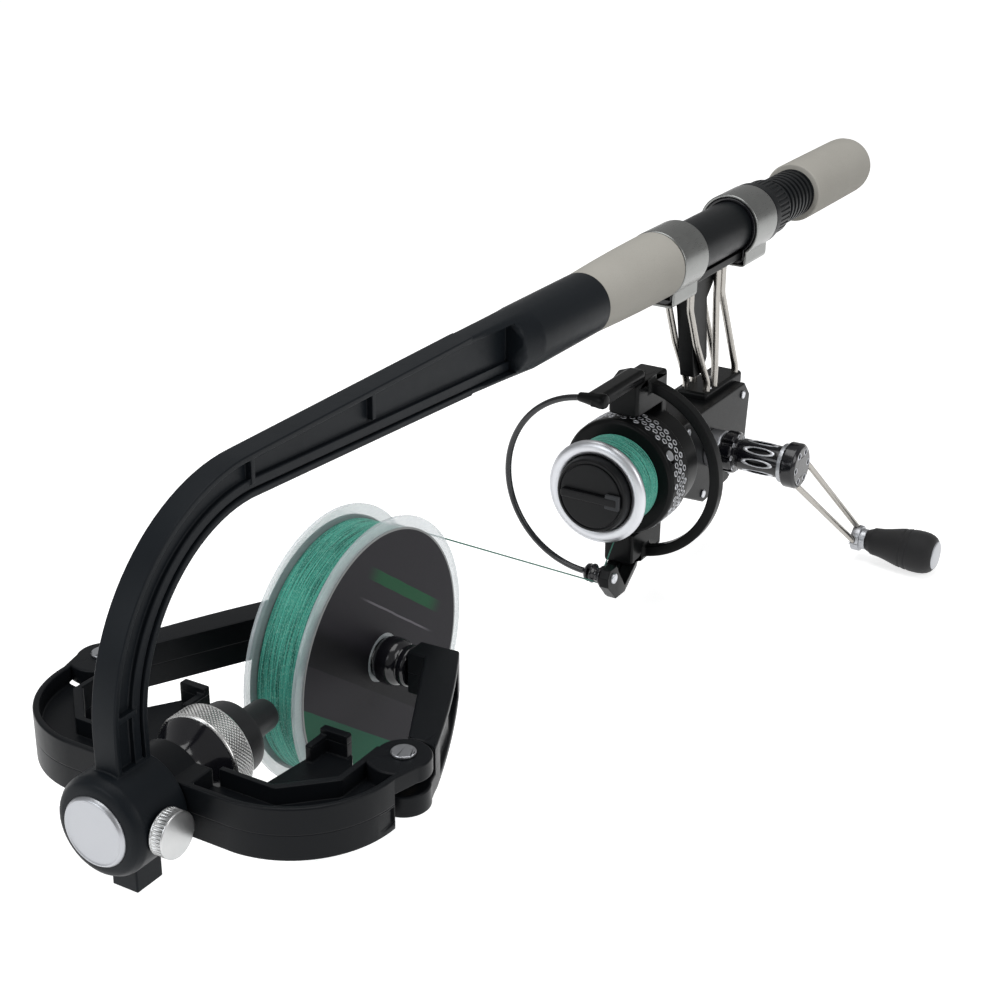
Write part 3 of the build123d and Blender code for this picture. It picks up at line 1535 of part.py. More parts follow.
# ---------------------------------------------------------------------------------------------
# Tight strand of line: off the supply spool, under the roller and on to the reel spool
# ---------------------------------------------------------------------------------------------
wrap_radius = roller_radius - roller_groove + strand_radius + 0.1
leave_radius = supply_line_radius + 2 * supply_wire_radius + nest + strand_radius + 0.1
land_radius = reel_line_radius + 2 * reel_wire_radius + nest + strand_radius + 0.1
land_x = (lip_rear + drum_rear) / 2
land = Vector(land_x, roller_y, reel_z - sqrt(land_radius**2 - roller_y**2))


def tangent_normal(from_centre, from_radius, to_centre, to_radius):
    """Direction, in the XZ plane, from both centres to a line that touches two circles."""
    run = to_centre - from_centre
    base = atan2(run.Z, run.X)
    turn = acos((from_radius - to_radius) / hypot(run.X, run.Z))
    return base, turn


supply_centre = Vector(spool_x, 0, hub_z)
roller_centre = Vector(wire_x, 0, roller_z)
# Above the supply spool and below the roller, so the line crosses between them
base, turn = tangent_normal(supply_centre, leave_radius, roller_centre, -wrap_radius)
leave_dir = Vector(cos(base + turn), 0, sin(base + turn))
strand_start = supply_centre + leave_dir * leave_radius
arrive = roller_centre - leave_dir * wrap_radius
base, turn = tangent_normal(roller_centre, wrap_radius, Vector(land.X, 0, land.Z), 0)
off_dir = Vector(cos(base - turn), 0, sin(base - turn))
depart = roller_centre + off_dir * wrap_radius
# Corner of the two straight runs, under the roller
run_in = (arrive - strand_start).normalized()
run_out = (Vector(land.X, 0, land.Z) - depart).normalized()
span = depart - arrive
cross = run_in.X * run_out.Z - run_in.Z * run_out.X
along = (span.X * run_out.Z - span.Z * run_out.X) / cross
corner = arrive + run_in * along + Vector(0, roller_y, 0)

with BuildPart() as free_line:
    with BuildLine() as route:
        FilletPolyline(strand_start, corner, land, radius=wrap_radius)
    path = route.wires()[0]
    with BuildSketch(Plane(origin=path @ 0, z_dir=path % 0)):
        Circle(strand_radius)
    sweep(path=path)
print(f"free_line: length {path.length:.1f} mm, bend radius {wrap_radius:.2f},"
      f" volume {free_line.part.volume:.2f} of {path.length * pi * strand_radius**2:.2f}")
save(free_line, "free_line")
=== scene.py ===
"""Line winding arm with its clamped reel and supply spool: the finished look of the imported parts.

Metres, +X along the handle towards the butt, +Z up, origin on the handle's axis in the middle of the
butt grip. Sizes are written in millimetres and scaled by MM.
"""

import json
from math import cos, pi, radians, sin, tau

import bpy
from mathutils import Matrix, Vector

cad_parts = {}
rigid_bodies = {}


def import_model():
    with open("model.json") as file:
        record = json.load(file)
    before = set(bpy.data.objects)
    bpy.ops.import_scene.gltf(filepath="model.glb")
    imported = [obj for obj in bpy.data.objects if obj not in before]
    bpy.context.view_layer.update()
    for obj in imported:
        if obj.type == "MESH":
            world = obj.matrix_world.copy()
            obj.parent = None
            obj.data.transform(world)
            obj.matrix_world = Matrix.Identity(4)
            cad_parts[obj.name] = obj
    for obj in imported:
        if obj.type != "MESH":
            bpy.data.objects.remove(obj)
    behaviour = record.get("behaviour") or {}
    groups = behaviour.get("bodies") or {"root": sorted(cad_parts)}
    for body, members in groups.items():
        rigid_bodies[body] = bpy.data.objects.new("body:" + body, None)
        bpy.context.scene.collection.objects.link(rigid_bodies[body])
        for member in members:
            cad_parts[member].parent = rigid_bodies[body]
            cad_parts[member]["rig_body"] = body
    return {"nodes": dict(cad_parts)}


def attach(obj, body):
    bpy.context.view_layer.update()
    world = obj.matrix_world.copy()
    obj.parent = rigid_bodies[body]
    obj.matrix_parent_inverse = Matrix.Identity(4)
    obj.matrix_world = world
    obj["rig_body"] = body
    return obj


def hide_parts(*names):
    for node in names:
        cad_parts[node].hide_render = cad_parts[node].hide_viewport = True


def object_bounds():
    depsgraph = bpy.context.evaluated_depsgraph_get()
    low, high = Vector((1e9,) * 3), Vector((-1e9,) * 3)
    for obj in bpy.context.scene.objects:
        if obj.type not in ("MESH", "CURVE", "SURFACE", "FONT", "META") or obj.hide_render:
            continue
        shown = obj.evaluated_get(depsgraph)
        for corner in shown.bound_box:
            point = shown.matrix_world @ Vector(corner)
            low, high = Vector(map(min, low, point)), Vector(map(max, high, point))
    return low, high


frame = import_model()
cad_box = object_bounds()

MM = 0.001
scene = bpy.context.scene
scene.view_settings.view_transform = "Standard"

# Places on the tool, in millimetres
HUB_Z = -83.0
SPOOL_X = -405.5
REEL_Z = -87.0
CRANK_X = -144.5
CRANK_Z = -93.5
KNOB_X = -103.5
KNOB_Z = -140.5
WIRE_X = -238.5
ROLLER_Z = -121.0


def mm(*values):
    """A point given in millimetres, in metres."""
    return Vector(values) * MM


# ---------------------------------------------------------------------------------------------
# Camera, at the photograph's angle
# ---------------------------------------------------------------------------------------------
camera = bpy.data.objects.new("camera", bpy.data.cameras.new("camera"))
scene.collection.objects.link(camera)
camera.data.sensor_width = 36.0
camera.data.lens = 67.32
camera.data.clip_start = 0.01
camera.data.clip_end = 60.0
look_right = Vector((0.51756129, -0.85562715, 0.00570047))
look_up = Vector((0.33827186, 0.21072802, 0.91715094))
look_back = Vector((-0.7859405, -0.47275352, 0.39849925))
turn = Matrix((look_right, look_up, look_back)).transposed()
camera.matrix_world = Matrix.Translation(mm(-871.878, -337.902, 223.262)) @ turn.to_4x4()
scene.camera = camera


# ---------------------------------------------------------------------------------------------
# Finishes
# ---------------------------------------------------------------------------------------------
class Flow:
    """A number or vector on its way through a finish, so that sums are written as sums."""

    def __init__(self, finish, socket):
        self.finish = finish
        self.socket = socket

    def math(self, operation, *values):
        return self.finish.node("ShaderNodeMath", {"operation": operation}, dict(enumerate(values)))

    def __add__(self, other):
        return self.math("ADD", self, other)

    def __radd__(self, other):
        return self.math("ADD", other, self)

    def __sub__(self, other):
        return self.math("SUBTRACT", self, other)

    def __rsub__(self, other):
        return self.math("SUBTRACT", other, self)

    def __mul__(self, other):
        return self.math("MULTIPLY", self, other)

    def __rmul__(self, other):
        return self.math("MULTIPLY", other, self)

    def __abs__(self):
        return self.math("ABSOLUTE", self)

    def sine(self):
        return self.math("SINE", self)

    def above(self, edge, soft):
        """0 below the edge and 1 above it, over a soft step."""
        return self.finish.node(
            "ShaderNodeMapRange",
            {"interpolation_type": "SMOOTHSTEP"},
            {0: self, 1: edge - soft, 2: edge + soft, 3: 0.0, 4: 1.0},
        )

    def between(self, low, high):
        """The 0 to 1 value stretched to run from low to high."""
        return self.finish.node("ShaderNodeMapRange", {}, {0: self, 1: 0.0, 2: 1.0, 3: low, 4: high})


class Finish:
    """One material: constants are set on the shader, and the rest is fed by nodes."""

    def __init__(self, name, **constants):
        self.material = bpy.data.materials.new(name)
        self.material.use_nodes = True
        self.tree = self.material.node_tree
        self.shader = self.tree.nodes["Principled BSDF"]
        for socket, value in constants.items():
            self.shader.inputs[socket.replace("_", " ")].default_value = value
        place = self.node("ShaderNodeTexCoord", {}, {}, "Object")
        self.place = self.node("ShaderNodeVectorMath", {"operation": "SCALE"}, {0: place, "Scale": 1 / MM})

    def node(self, kind, settings, inputs, output=0):
        """Any node: its settings, then its inputs, as the flow of one output."""
        made = self.tree.nodes.new(kind)
        for name, value in settings.items():
            setattr(made, name, value)
        for name, value in inputs.items():
            if isinstance(value, Flow):
                self.tree.links.new(value.socket, made.inputs[name])
            else:
                made.inputs[name].default_value = value
        return Flow(self, made.outputs[output])

    def axes(self):
        """Place in millimetres along each axis."""
        return [self.node("ShaderNodeSeparateXYZ", {}, {0: self.place}, axis) for axis in "XYZ"]

    def stretched(self, x, y, z):
        """The place with each axis scaled."""
        return self.node("ShaderNodeVectorMath", {"operation": "MULTIPLY"}, {0: self.place, 1: (x, y, z)})

    def noise(self, scale, detail=2.0, place=None):
        """Cloudy 0 to 1 pattern, in features per millimetre."""
        inputs = {"Vector": place or self.place, "Scale": scale, "Detail": detail}
        return self.node("ShaderNodeTexNoise", {}, inputs)

    def cells(self, scale):
        """Distance to the nearest of many scattered points."""
        return self.node("ShaderNodeTexVoronoi", {}, {"Vector": self.place, "Scale": scale})

    def round_angle(self, across, up):
        """Angle about a line along the third axis."""
        return across.math("ARCTAN2", up, across)

    def tint(self, amount, low, high):
        """Colour that runs from low to high as the amount goes from 0 to 1."""
        colours = {0: amount, 6: (*low, 1.0), 7: (*high, 1.0)}
        return self.node("ShaderNodeMix", {"data_type": "RGBA"}, colours, 2)

    def over(self, amount, under, top):
        """A colour or flow laid over another one."""
        return self.node("ShaderNodeMix", {"data_type": "RGBA"}, {0: amount, 6: under, 7: top}, 2)

    def feed(self, socket, flow):
        self.tree.links.new(flow.socket, self.shader.inputs[socket])

    def relief(self, height, depth, strength=1.0):
        """Bumps of this depth in millimetres where the height goes from 0 to 1."""
        bump = self.node("ShaderNodeBump", {}, {"Height": height, "Strength": strength, "Distance": depth * MM})
        self.feed("Normal", bump)


def moulded(name, low, high, rough, grain=0.035, level=0.12, seam=None):
    """Satin moulded plastic with a fine spark-eroded grain and faint flow marks."""
    finish = Finish(name, **{"Specular_IOR_Level": level})
    flow_marks = finish.noise(0.035, 3.0)
    grains = finish.noise(3.2, 2.0)
    wear = finish.noise(0.3, 4.0)
    finish.feed("Base Color", finish.tint(flow_marks * 0.7 + grains * 0.3, low, high))
    finish.feed("Roughness", (wear * 0.6 + grains * 0.4).between(rough - 0.07, rough + 0.09))
    height = grains
    if seam is not None:
        height = grains + abs(finish.axes()[2] - seam).above(0.18, 0.1) * 4.0
    finish.relief(height, grain)
    return finish.material


def glossy(name, low, high, rough=0.14):
    """Polished black moulding with a lacquer coat and hairline wipe marks."""
    finish = Finish(name, **{"Coat_Weight": 0.3, "Coat_Roughness": 0.08, "Specular_IOR_Level": 0.4})
    ripple = finish.noise(0.12, 2.0)
    wipes = finish.noise(1.4, 4.0, finish.stretched(0.25, 1.0, 1.3))
    finish.feed("Base Color", finish.tint(ripple, low, high))
    finish.feed("Roughness", wipes.between(rough - 0.05, rough + 0.12))
    finish.relief(ripple, 0.05, 0.4)
    return finish.material


def brushed(name, low, high, rough, lines, grain=0.004):
    """Bare metal with drawn or turned lines; lines are the features per millimetre on each axis."""
    finish = Finish(name, Metallic=1.0)
    strokes = finish.noise(1.0, 3.0, finish.stretched(*lines))
    patches = finish.noise(0.08, 2.0)
    finish.feed("Base Color", finish.tint(strokes * 0.5 + patches * 0.5, low, high))
    finish.feed("Roughness", strokes.between(rough - 0.08, rough + 0.12))
    finish.relief(strokes, grain)
    return finish.material


def foam(name):
    """Closed-cell grip foam: warm grey, skinned, with tiny open cells coloured darker as painted shade."""
    finish = Finish(name, **{"Specular_IOR_Level": 0.2})
    pores = finish.cells(1.9).above(0.22, 0.16)
    skin = finish.noise(2.6, 3.0)
    shade = finish.noise(0.05, 2.0)
    base = finish.tint(shade * 0.6 + skin * 0.4, (0.37, 0.355, 0.32), (0.47, 0.455, 0.415))
    # Painted shade in the open cells: the cells are coloured darker than the skin around them.
    finish.feed("Base Color", finish.over(pores.between(0.22, 0.0), base, (0.25, 0.24, 0.215, 1.0)))
    finish.feed("Roughness", skin.between(0.74, 0.95))
    finish.relief(pores * 0.7 + skin * 0.3, 0.06)
    return finish.material


def diamond_knurl(name):
    """Steel ring with a diamond knurl between two polished rims, about the hub line; the knurl's grooves carry
    painted shade and its ridge tops a painted highlight.
    """
    finish = Finish(name, Metallic=1.0)
    x, y, z = finish.axes()
    around = finish.round_angle(y, z - HUB_Z) * 34.0
    along = x * 2.6
    ridges = abs((around + along).sine()) * abs((around - along).sine())
    band = (x.above(-490.9, 0.15)) * (1.0 - x.above(-484.1, 0.15))
    scratches = finish.noise(2.0, 2.0, finish.stretched(2.0, 0.4, 0.4))
    # Painted shade and painted highlight: the knurl's grooves are coloured dark and its ridge tops bright, and
    # the rims a plain bright steel.
    finish.feed("Base Color", finish.tint(ridges * band + (1.0 - band) * 0.8,
                                          (0.32, 0.32, 0.32), (0.84, 0.84, 0.83)))
    finish.feed("Roughness", (scratches * 0.6 + ridges * 0.4).between(0.18, 0.42))
    finish.relief(ridges * band + (1.0 - band) * 0.6, 0.26)
    return finish.material


def edge_knurl(name):
    """Bright steel screw head with straight ribs cut in its edge."""
    finish = Finish(name, Metallic=1.0)
    x, y, z = finish.axes()
    out = finish.node("ShaderNodeCombineXYZ", {}, {0: x + 526.5, 1: z - HUB_Z, 2: 0.0})
    reach = finish.node("ShaderNodeVectorMath", {"operation": "LENGTH"}, {0: out}, "Value")
    turning = finish.noise(1.0, 2.0, finish.node("ShaderNodeCombineXYZ", {}, {0: reach * 4.0, 1: 0.0, 2: 0.0}))
    haze = finish.noise(0.25, 2.0)
    finish.feed("Base Color", finish.tint(haze, (0.5, 0.51, 0.51), (0.58, 0.58, 0.58)))
    finish.feed("Roughness", (haze * 0.6 + turning * 0.4).between(0.24, 0.36))
    return finish.material


def clear(name):
    """Clear spool plastic, milky where light gathers, with faint handling haze."""
    finish = Finish(name, **{"Specular_IOR_Level": 0.7, "Coat_Weight": 0.5, "Coat_Roughness": 0.05})
    haze = finish.noise(0.09, 4.0)
    scuffs = finish.noise(1.6, 3.0, finish.stretched(0.3, 1.0, 1.0))
    finish.feed("Base Color", finish.tint(haze, (0.62, 0.69, 0.72), (0.74, 0.8, 0.83)))
    finish.feed("Alpha", (haze * 0.6 + scuffs * 0.4).between(0.34, 0.56))
    finish.feed("Roughness", (haze * 0.5 + scuffs * 0.5).between(0.06, 0.2))
    finish.relief(haze, 0.04, 0.5)
    return finish.material


def braid(name, across, along):
    """Green braided line: streaks that run with the turns between the line's shaded and lit greens, partly the
    braid's own tone and partly painted shade and painted light, and small pale flecks that are painted glints of
    the weave.
    """
    finish = Finish(name, **{"Specular_IOR_Level": 0.35, "Sheen_Weight": 0.25, "Sheen_Roughness": 0.4})
    streaks = finish.noise(1.0, 3.0, finish.stretched(*across))
    flecks = finish.noise(1.0, 2.0, finish.stretched(*along))
    shade = finish.noise(0.06, 2.0)
    # Painted light and shade: the streaks run from the line's shaded green to its lit green.
    base = finish.tint((streaks * 0.8 + shade * 0.2).above(0.48, 0.12), (0.008, 0.12, 0.09), (0.085, 0.47, 0.36))
    # Painted glints: pale flecks of the weave laid over the green.
    light = flecks.above(0.58, 0.08) * 0.45
    finish.feed("Base Color", finish.over(light, base, (0.32, 0.7, 0.58, 1.0)))
    finish.feed("Roughness", streaks.between(0.45, 0.75))
    finish.relief(flecks * 0.6 + streaks * 0.4, 0.06)
    return finish.material


def strand(name):
    """The single free strand of the same braid."""
    finish = Finish(name, **{"Specular_IOR_Level": 0.35})
    weave = finish.noise(2.4, 2.0)
    finish.feed("Base Color", finish.tint(weave, (0.02, 0.1, 0.075), (0.07, 0.24, 0.18)))
    finish.feed("Roughness", weave.between(0.5, 0.75))
    finish.relief(weave, 0.04)
    return finish.material


def label_print(name):
    """Plain printed disc: dark bands, green below, one green bar and a thin pale line, with a pale edge."""
    finish = Finish(name, **{"Specular_IOR_Level": 0.12})
    x, y, z = finish.axes()
    fibres = finish.noise(1.8, 4.0)
    drift = finish.noise(0.12, 2.0)
    across = (x - SPOOL_X) * 0.804 - (z - HUB_Z) * 0.595
    height = (x - SPOOL_X) * 0.595 + (z - HUB_Z) * 0.804 + (drift - 0.5) * 0.4
    grey = finish.tint(fibres, (0.013, 0.012, 0.016), (0.019, 0.018, 0.022))
    black = finish.tint(fibres, (0.003, 0.003, 0.004), (0.006, 0.006, 0.008))
    green = finish.tint(fibres, (0.01, 0.075, 0.042), (0.014, 0.1, 0.056))
    below = finish.over(height.above(-26.0, 0.2), green, grey)
    middle = finish.over(height.above(-12.0, 0.2), below, black)
    print_colour = finish.over(height.above(0.0, 3.0), middle, grey)
    fade = 1.0 - abs(across).above(22.0, 6.0)
    bar = (1.0 - abs(height - 24.5).above(2.1, 0.15)) * fade
    print_colour = finish.over(bar, print_colour, (0.008, 0.075, 0.03, 1.0))
    line = (1.0 - abs(height - 15.4).above(0.35, 0.15)) * fade
    print_colour = finish.over(line * 0.8, print_colour, (0.17, 0.16, 0.18, 1.0))
    out = finish.node("ShaderNodeCombineXYZ", {}, {0: x - SPOOL_X, 1: z - HUB_Z, 2: 0.0})
    reach = finish.node("ShaderNodeVectorMath", {"operation": "LENGTH"}, {0: out}, "Value")
    finish.feed("Base Color", finish.over(reach.above(45.3, 0.12), print_colour, (0.3, 0.31, 0.31, 1.0)))
    finish.feed("Roughness", fibres.between(0.45, 0.62))
    finish.relief(fibres, 0.015)
    return finish.material


def rubber(name, low, high, rough=0.62):
    """Soft matte rubber with a powdery skin."""
    finish = Finish(name, **{"Specular_IOR_Level": 0.3, "Sheen_Weight": 0.15})
    dust = finish.noise(0.25, 4.0)
    skin = finish.noise(4.0, 2.0)
    finish.feed("Base Color", finish.tint(dust * 0.6 + skin * 0.4, low, high))
    finish.feed("Roughness", (skin * 0.5 + dust * 0.5).between(rough - 0.08, rough + 0.12))
    finish.relief(skin, 0.03)
    return finish.material


arm_plastic = moulded("arm_plastic", (0.005, 0.0068, 0.009), (0.0095, 0.0122, 0.0155), 0.4, grain=0.03)
yoke_plastic = moulded("yoke_plastic", (0.0042, 0.005, 0.0062), (0.008, 0.0092, 0.011), 0.34, seam=HUB_Z)
seat_plastic = moulded("seat_plastic", (0.0042, 0.0052, 0.0062), (0.008, 0.0095, 0.0112), 0.34)
body_paint = moulded("body_paint", (0.0035, 0.0038, 0.004), (0.0075, 0.008, 0.0085), 0.3, grain=0.02)
knob_black = moulded("knob_black", (0.0022, 0.0024, 0.003), (0.0042, 0.0046, 0.0056), 0.4, level=0.2)
tab_grey = moulded("tab_grey", (0.045, 0.047, 0.05), (0.06, 0.062, 0.066), 0.4)
gloss_black = glossy("gloss_black", (0.004, 0.004, 0.006), (0.010, 0.010, 0.013))
wire_lacquer = glossy("wire_lacquer", (0.004, 0.005, 0.007), (0.010, 0.011, 0.014), 0.22)
grip_foam = foam("grip_foam")
hood_metal = brushed("hood_metal", (0.2, 0.205, 0.2), (0.33, 0.335, 0.325), 0.28, (0.2, 1.2, 1.2), 0.001)
satin_silver = brushed("satin_silver", (0.4, 0.41, 0.435), (0.47, 0.48, 0.5), 0.36, (1.6, 1.6, 1.6), 0.0015)
rod_steel = brushed("rod_steel", (0.36, 0.345, 0.32), (0.46, 0.44, 0.41), 0.26, (0.5, 0.5, 0.05), 0.001)
bright_silver = brushed("bright_silver", (0.6, 0.61, 0.64), (0.68, 0.69, 0.72), 0.36, (3.0, 0.4, 0.4), 0.002)
knurl_steel = diamond_knurl("knurl_steel")
screw_steel = edge_knurl("screw_steel")
bronze_wire = brushed("bronze_wire", (0.3, 0.2, 0.11), (0.5, 0.36, 0.22), 0.3, (3.0, 3.0, 3.0))
brass = brushed("brass", (0.5, 0.37, 0.16), (0.68, 0.52, 0.27), 0.28, (2.0, 5.0, 2.0))
clear_plastic = clear("clear_plastic")
supply_braid = braid("supply_braid", (0.05, 2.6, 0.05), (1.6, 3.2, 1.6))
reel_braid = braid("reel_braid", (2.6, 0.06, 0.06), (3.2, 1.6, 1.6))
free_braid = strand("free_braid")
label_card = label_print("label_card")
knob_rubber = rubber("knob_rubber", (0.007, 0.007, 0.008), (0.014, 0.014, 0.015))
pad_rubber = rubber("pad_rubber", (0.005, 0.006, 0.007), (0.010, 0.011, 0.013), 0.42)

# ---------------------------------------------------------------------------------------------
# Tight strand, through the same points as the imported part
# ---------------------------------------------------------------------------------------------
def route_curve(name, points, radius):
    """Round strand on one open spline through these points."""
    curve = bpy.data.curves.new(name, "CURVE")
    curve.dimensions = "3D"
    curve.bevel_depth = radius
    curve.bevel_resolution = 3
    curve.resolution_u = 16
    curve.use_fill_caps = True
    spline = curve.splines.new("NURBS")
    spline.points.add(len(points) - 1)
    for knot, place in zip(spline.points, points):
        knot.co = (*place, 1.0)
    spline.order_u = 3
    spline.use_endpoint_u = True
    piece = bpy.data.objects.new(name, curve)
    scene.collection.objects.link(piece)
    return piece


strand_start = mm(-383.194, 0.0, -43.400)
strand_corner = mm(-237.831, -5.5, -125.279)
strand_land = mm(-220.5, -5.5, -106.593)
beside_roller = 3.6 * MM
run_in = (strand_corner - strand_start).normalized()
run_out = (strand_land - strand_corner).normalized()
free_strand = route_curve(
    "free_strand",
    [
        strand_start,
        strand_corner - run_in * beside_roller,
        strand_corner,
        strand_corner + run_out * beside_roller,
        strand_land,
    ],
    0.3 * MM,
)
free_strand.data.materials.append(free_braid)
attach(free_strand, "handle")
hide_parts("free_line")


def take(*pieces):
    """Only these pieces are selected, the first one active."""
    bpy.ops.object.select_all(action="DESELECT")
    for piece in pieces:
        piece.select_set(True)
    bpy.context.view_layer.objects.active = pieces[0]


def modify(piece, kind, **settings):
    """Add a modifier and apply it."""
    take(piece)
    modifier = piece.modifiers.new(kind.title(), kind)
    for name, value in settings.items():
        setattr(modifier, name, value)
    bpy.ops.object.modifier_apply(modifier=modifier.name)


def into_place(piece):
    """Put the object's place, turn and size into its mesh."""
    take(piece)
    bpy.ops.object.transform_apply(location=True, rotation=True, scale=True)


def tidy_mesh(piece, merge=0.002):
    """Merge doubles, then point every face outwards."""
    take(piece)
    bpy.ops.object.mode_set(mode="EDIT")
    bpy.ops.mesh.select_all(action="SELECT")
    bpy.ops.mesh.remove_doubles(threshold=merge * MM)
    bpy.ops.mesh.normals_make_consistent(inside=False)
    bpy.ops.object.mode_set(mode="OBJECT")


def hand_over(piece, name, finish, body, nodes=(), crease=35):
    """Name, shade, finish and hang the piece on its body."""
    piece.name = name
    piece.data.name = name
    into_place(piece)
    bpy.ops.object.shade_smooth_by_angle(angle=radians(crease))
    modify(piece, "WEIGHTED_NORMAL", keep_sharp=True)
    piece.data.materials.clear()
    piece.data.materials.append(finish)
    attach(piece, body)
    if nodes:
        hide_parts(*nodes)
    return piece


def joined(pieces):
    """Several pieces as one."""
    take(*pieces)
    bpy.ops.object.join()
    return bpy.context.view_layer.objects.active


def round_edges(piece, width, steps, crease, wanted):
    """Round the hard edges whose middle, in millimetres, is wanted."""
    take(piece)
    bpy.ops.object.mode_set(mode="EDIT")
    bpy.ops.mesh.select_mode(type="EDGE")
    bpy.ops.mesh.select_all(action="DESELECT")
    bpy.ops.mesh.edges_select_sharp(sharpness=radians(crease))
    bpy.ops.object.mode_set(mode="OBJECT")
    corners = piece.data.vertices
    for edge in piece.data.edges:
        middle = sum((corners[number].co for number in edge.vertices), Vector()) / 2 / MM
        edge.select = edge.select and wanted(middle)
    bpy.ops.object.mode_set(mode="EDIT")
    bpy.ops.mesh.bevel(offset=width * MM, segments=steps, affect="EDGES", clamp_overlap=False)
    bpy.ops.object.mode_set(mode="OBJECT")


def cut_away(piece, unwanted):
    """Take off what lies where unwanted says so, and close the openings that it leaves."""
    for corner in piece.data.vertices:
        corner.select = unwanted(corner.co / MM)
    take(piece)
    bpy.ops.object.mode_set(mode="EDIT")
    bpy.ops.mesh.select_mode(type="VERT")
    bpy.ops.mesh.delete(type="VERT")
    bpy.ops.mesh.select_all(action="SELECT")
    bpy.ops.mesh.fill_holes(sides=0)
    bpy.ops.mesh.normals_make_consistent(inside=False)
    bpy.ops.object.mode_set(mode="OBJECT")


def rounded(
    node, width, finish, steps=2, reach=35,
    spare=lambda middle: False, broad=None, broad_width=0.0, unwanted=None,
):
    """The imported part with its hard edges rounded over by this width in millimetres.

    Edges whose middle, in millimetres, lies where spare says so stay sharp, and those where broad
    says so are rounded first by the broad width. What is unwanted is taken off before that.
    """
    source = frame["nodes"][node]
    piece = bpy.data.objects.new(node, source.data.copy())
    scene.collection.objects.link(piece)
    tidy_mesh(piece)
    if unwanted:
        take(piece)
        bpy.ops.object.mode_set(mode="EDIT")
        bpy.ops.mesh.select_mode(type="VERT")
        bpy.ops.mesh.select_all(action="DESELECT")
        bpy.ops.object.mode_set(mode="OBJECT")
        cut_away(piece, unwanted)
    if broad:
        round_edges(piece, broad_width, 4, 40, broad)
        round_edges(piece, width, steps, 30, lambda middle: not spare(middle) and not broad(middle))
    else:
        round_edges(piece, width, steps, 30, lambda middle: not spare(middle))
    return hand_over(piece, node + "_finished", finish, source["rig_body"], [node], reach)


def turned(axis, centre, stations, sides=64):
    """Round piece: a ring at the first station, extruded and resized to each next (distance, radius)."""
    turn = {"X": (0.0, pi / 2, 0.0), "Y": (-pi / 2, 0.0, 0.0), "Z": (0.0, 0.0, 0.0)}[axis]
    way = Vector([letter == axis for letter in "XYZ"])
    first, radius = stations[0]
    bpy.ops.object.select_all(action="DESELECT")
    bpy.ops.mesh.primitive_circle_add(
        vertices=sides,
        radius=max(radius, 0.01) * MM,
        fill_type="NOTHING",
        location=mm(*centre) + way * first * MM,
        rotation=turn,
    )
    piece = bpy.context.view_layer.objects.active
    into_place(piece)
    bpy.ops.object.mode_set(mode="EDIT")
    bpy.ops.mesh.select_all(action="SELECT")
    here = Vector(mm(*centre)) + way * first * MM
    last_radius = max(radius, 0.01)
    for (distance, radius), (before, _) in zip(stations[1:], stations):
        step = way * (distance - before) * MM
        bpy.ops.mesh.extrude_region_move(TRANSFORM_OT_translate={"value": step})
        here = here + step
        radius = max(radius, 0.01)
        share = radius / last_radius
        size = [1.0 if letter == axis else share for letter in "XYZ"]
        bpy.ops.transform.resize(value=size, center_override=here)
        last_radius = radius
    bpy.ops.object.mode_set(mode="OBJECT")
    tidy_mesh(piece, 0.02)
    return piece


def wound(axis, centre, radius, thickness, start, pitch, turns, steps=64, sides=6):
    """Strand wound as a helix: a small ring carried round the axis by a Screw modifier."""
    bpy.ops.object.select_all(action="DESELECT")
    along = {"X": (1, 0, 0), "Y": (0, 1, 0)}[axis]
    bpy.ops.mesh.primitive_circle_add(vertices=sides, radius=thickness * MM, fill_type="NOTHING")
    piece = bpy.context.view_layer.objects.active
    piece.rotation_euler = (0.0, 0.0, 0.0) if axis == "X" else (0.0, pi / 2, 0.0)
    into_place(piece)
    bpy.ops.object.mode_set(mode="EDIT")
    bpy.ops.mesh.select_all(action="SELECT")
    offset = Vector((start, radius, 0.0)) if axis == "X" else Vector((0.0, start, radius))
    bpy.ops.transform.translate(value=offset * MM)
    bpy.ops.object.mode_set(mode="OBJECT")
    modify(
        piece,
        "SCREW",
        axis=axis,
        angle=tau,
        iterations=int(turns),
        screw_offset=pitch * MM,
        steps=steps,
        render_steps=steps,
        use_smooth_shade=True,
    )
    piece.location = mm(*centre)
    into_place(piece)
    tidy_mesh(piece, 0.001)
    return piece


def ring(radius, thickness, place, facing, along=(0.0, 1.0, 0.0), stretch=1.0, sides=20):
    """Thin ring round a direction, stretched along another one where it lines a slot."""
    bpy.ops.object.select_all(action="DESELECT")
    bpy.ops.mesh.primitive_torus_add(
        major_radius=radius * MM,
        minor_radius=thickness * MM,
        major_segments=sides,
        minor_segments=8,
    )
    piece = bpy.context.view_layer.objects.active
    out = Vector(facing).normalized()
    up = (Vector(along) - out * Vector(along).dot(out)).normalized()
    turn = Matrix((up.cross(out), up, out)).transposed().to_4x4()
    piece.matrix_world = Matrix.Translation(mm(*place)) @ turn @ Matrix.Diagonal((1.0, stretch, 1.0, 1.0))
    into_place(piece)
    return piece


def stud(radius, height, place, facing):
    """Small round head that stands out along a direction, its rim rounded over."""
    bpy.ops.object.select_all(action="DESELECT")
    bpy.ops.mesh.primitive_cylinder_add(vertices=32, radius=radius * MM, depth=height * MM)
    piece = bpy.context.view_layer.objects.active
    turn = Vector(facing).to_track_quat("Z", "Y").to_matrix().to_4x4()
    piece.matrix_world = Matrix.Translation(mm(*place)) @ turn
    into_place(piece)
    modify(piece, "BEVEL", width=0.2 * MM, segments=2, limit_method="ANGLE", angle_limit=radians(40))
    return piece


def plate(size, place):
    """Block of this size with its centre at this place."""
    bpy.ops.object.select_all(action="DESELECT")
    bpy.ops.mesh.primitive_cube_add(size=1.0, location=mm(*place))
    piece = bpy.context.view_layer.objects.active
    piece.scale = mm(*size)
    into_place(piece)
    return piece


def refinish(node, finish):
    """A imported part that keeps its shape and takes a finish."""
    part = frame["nodes"][node]
    part.data.materials.clear()
    part.data.materials.append(finish)


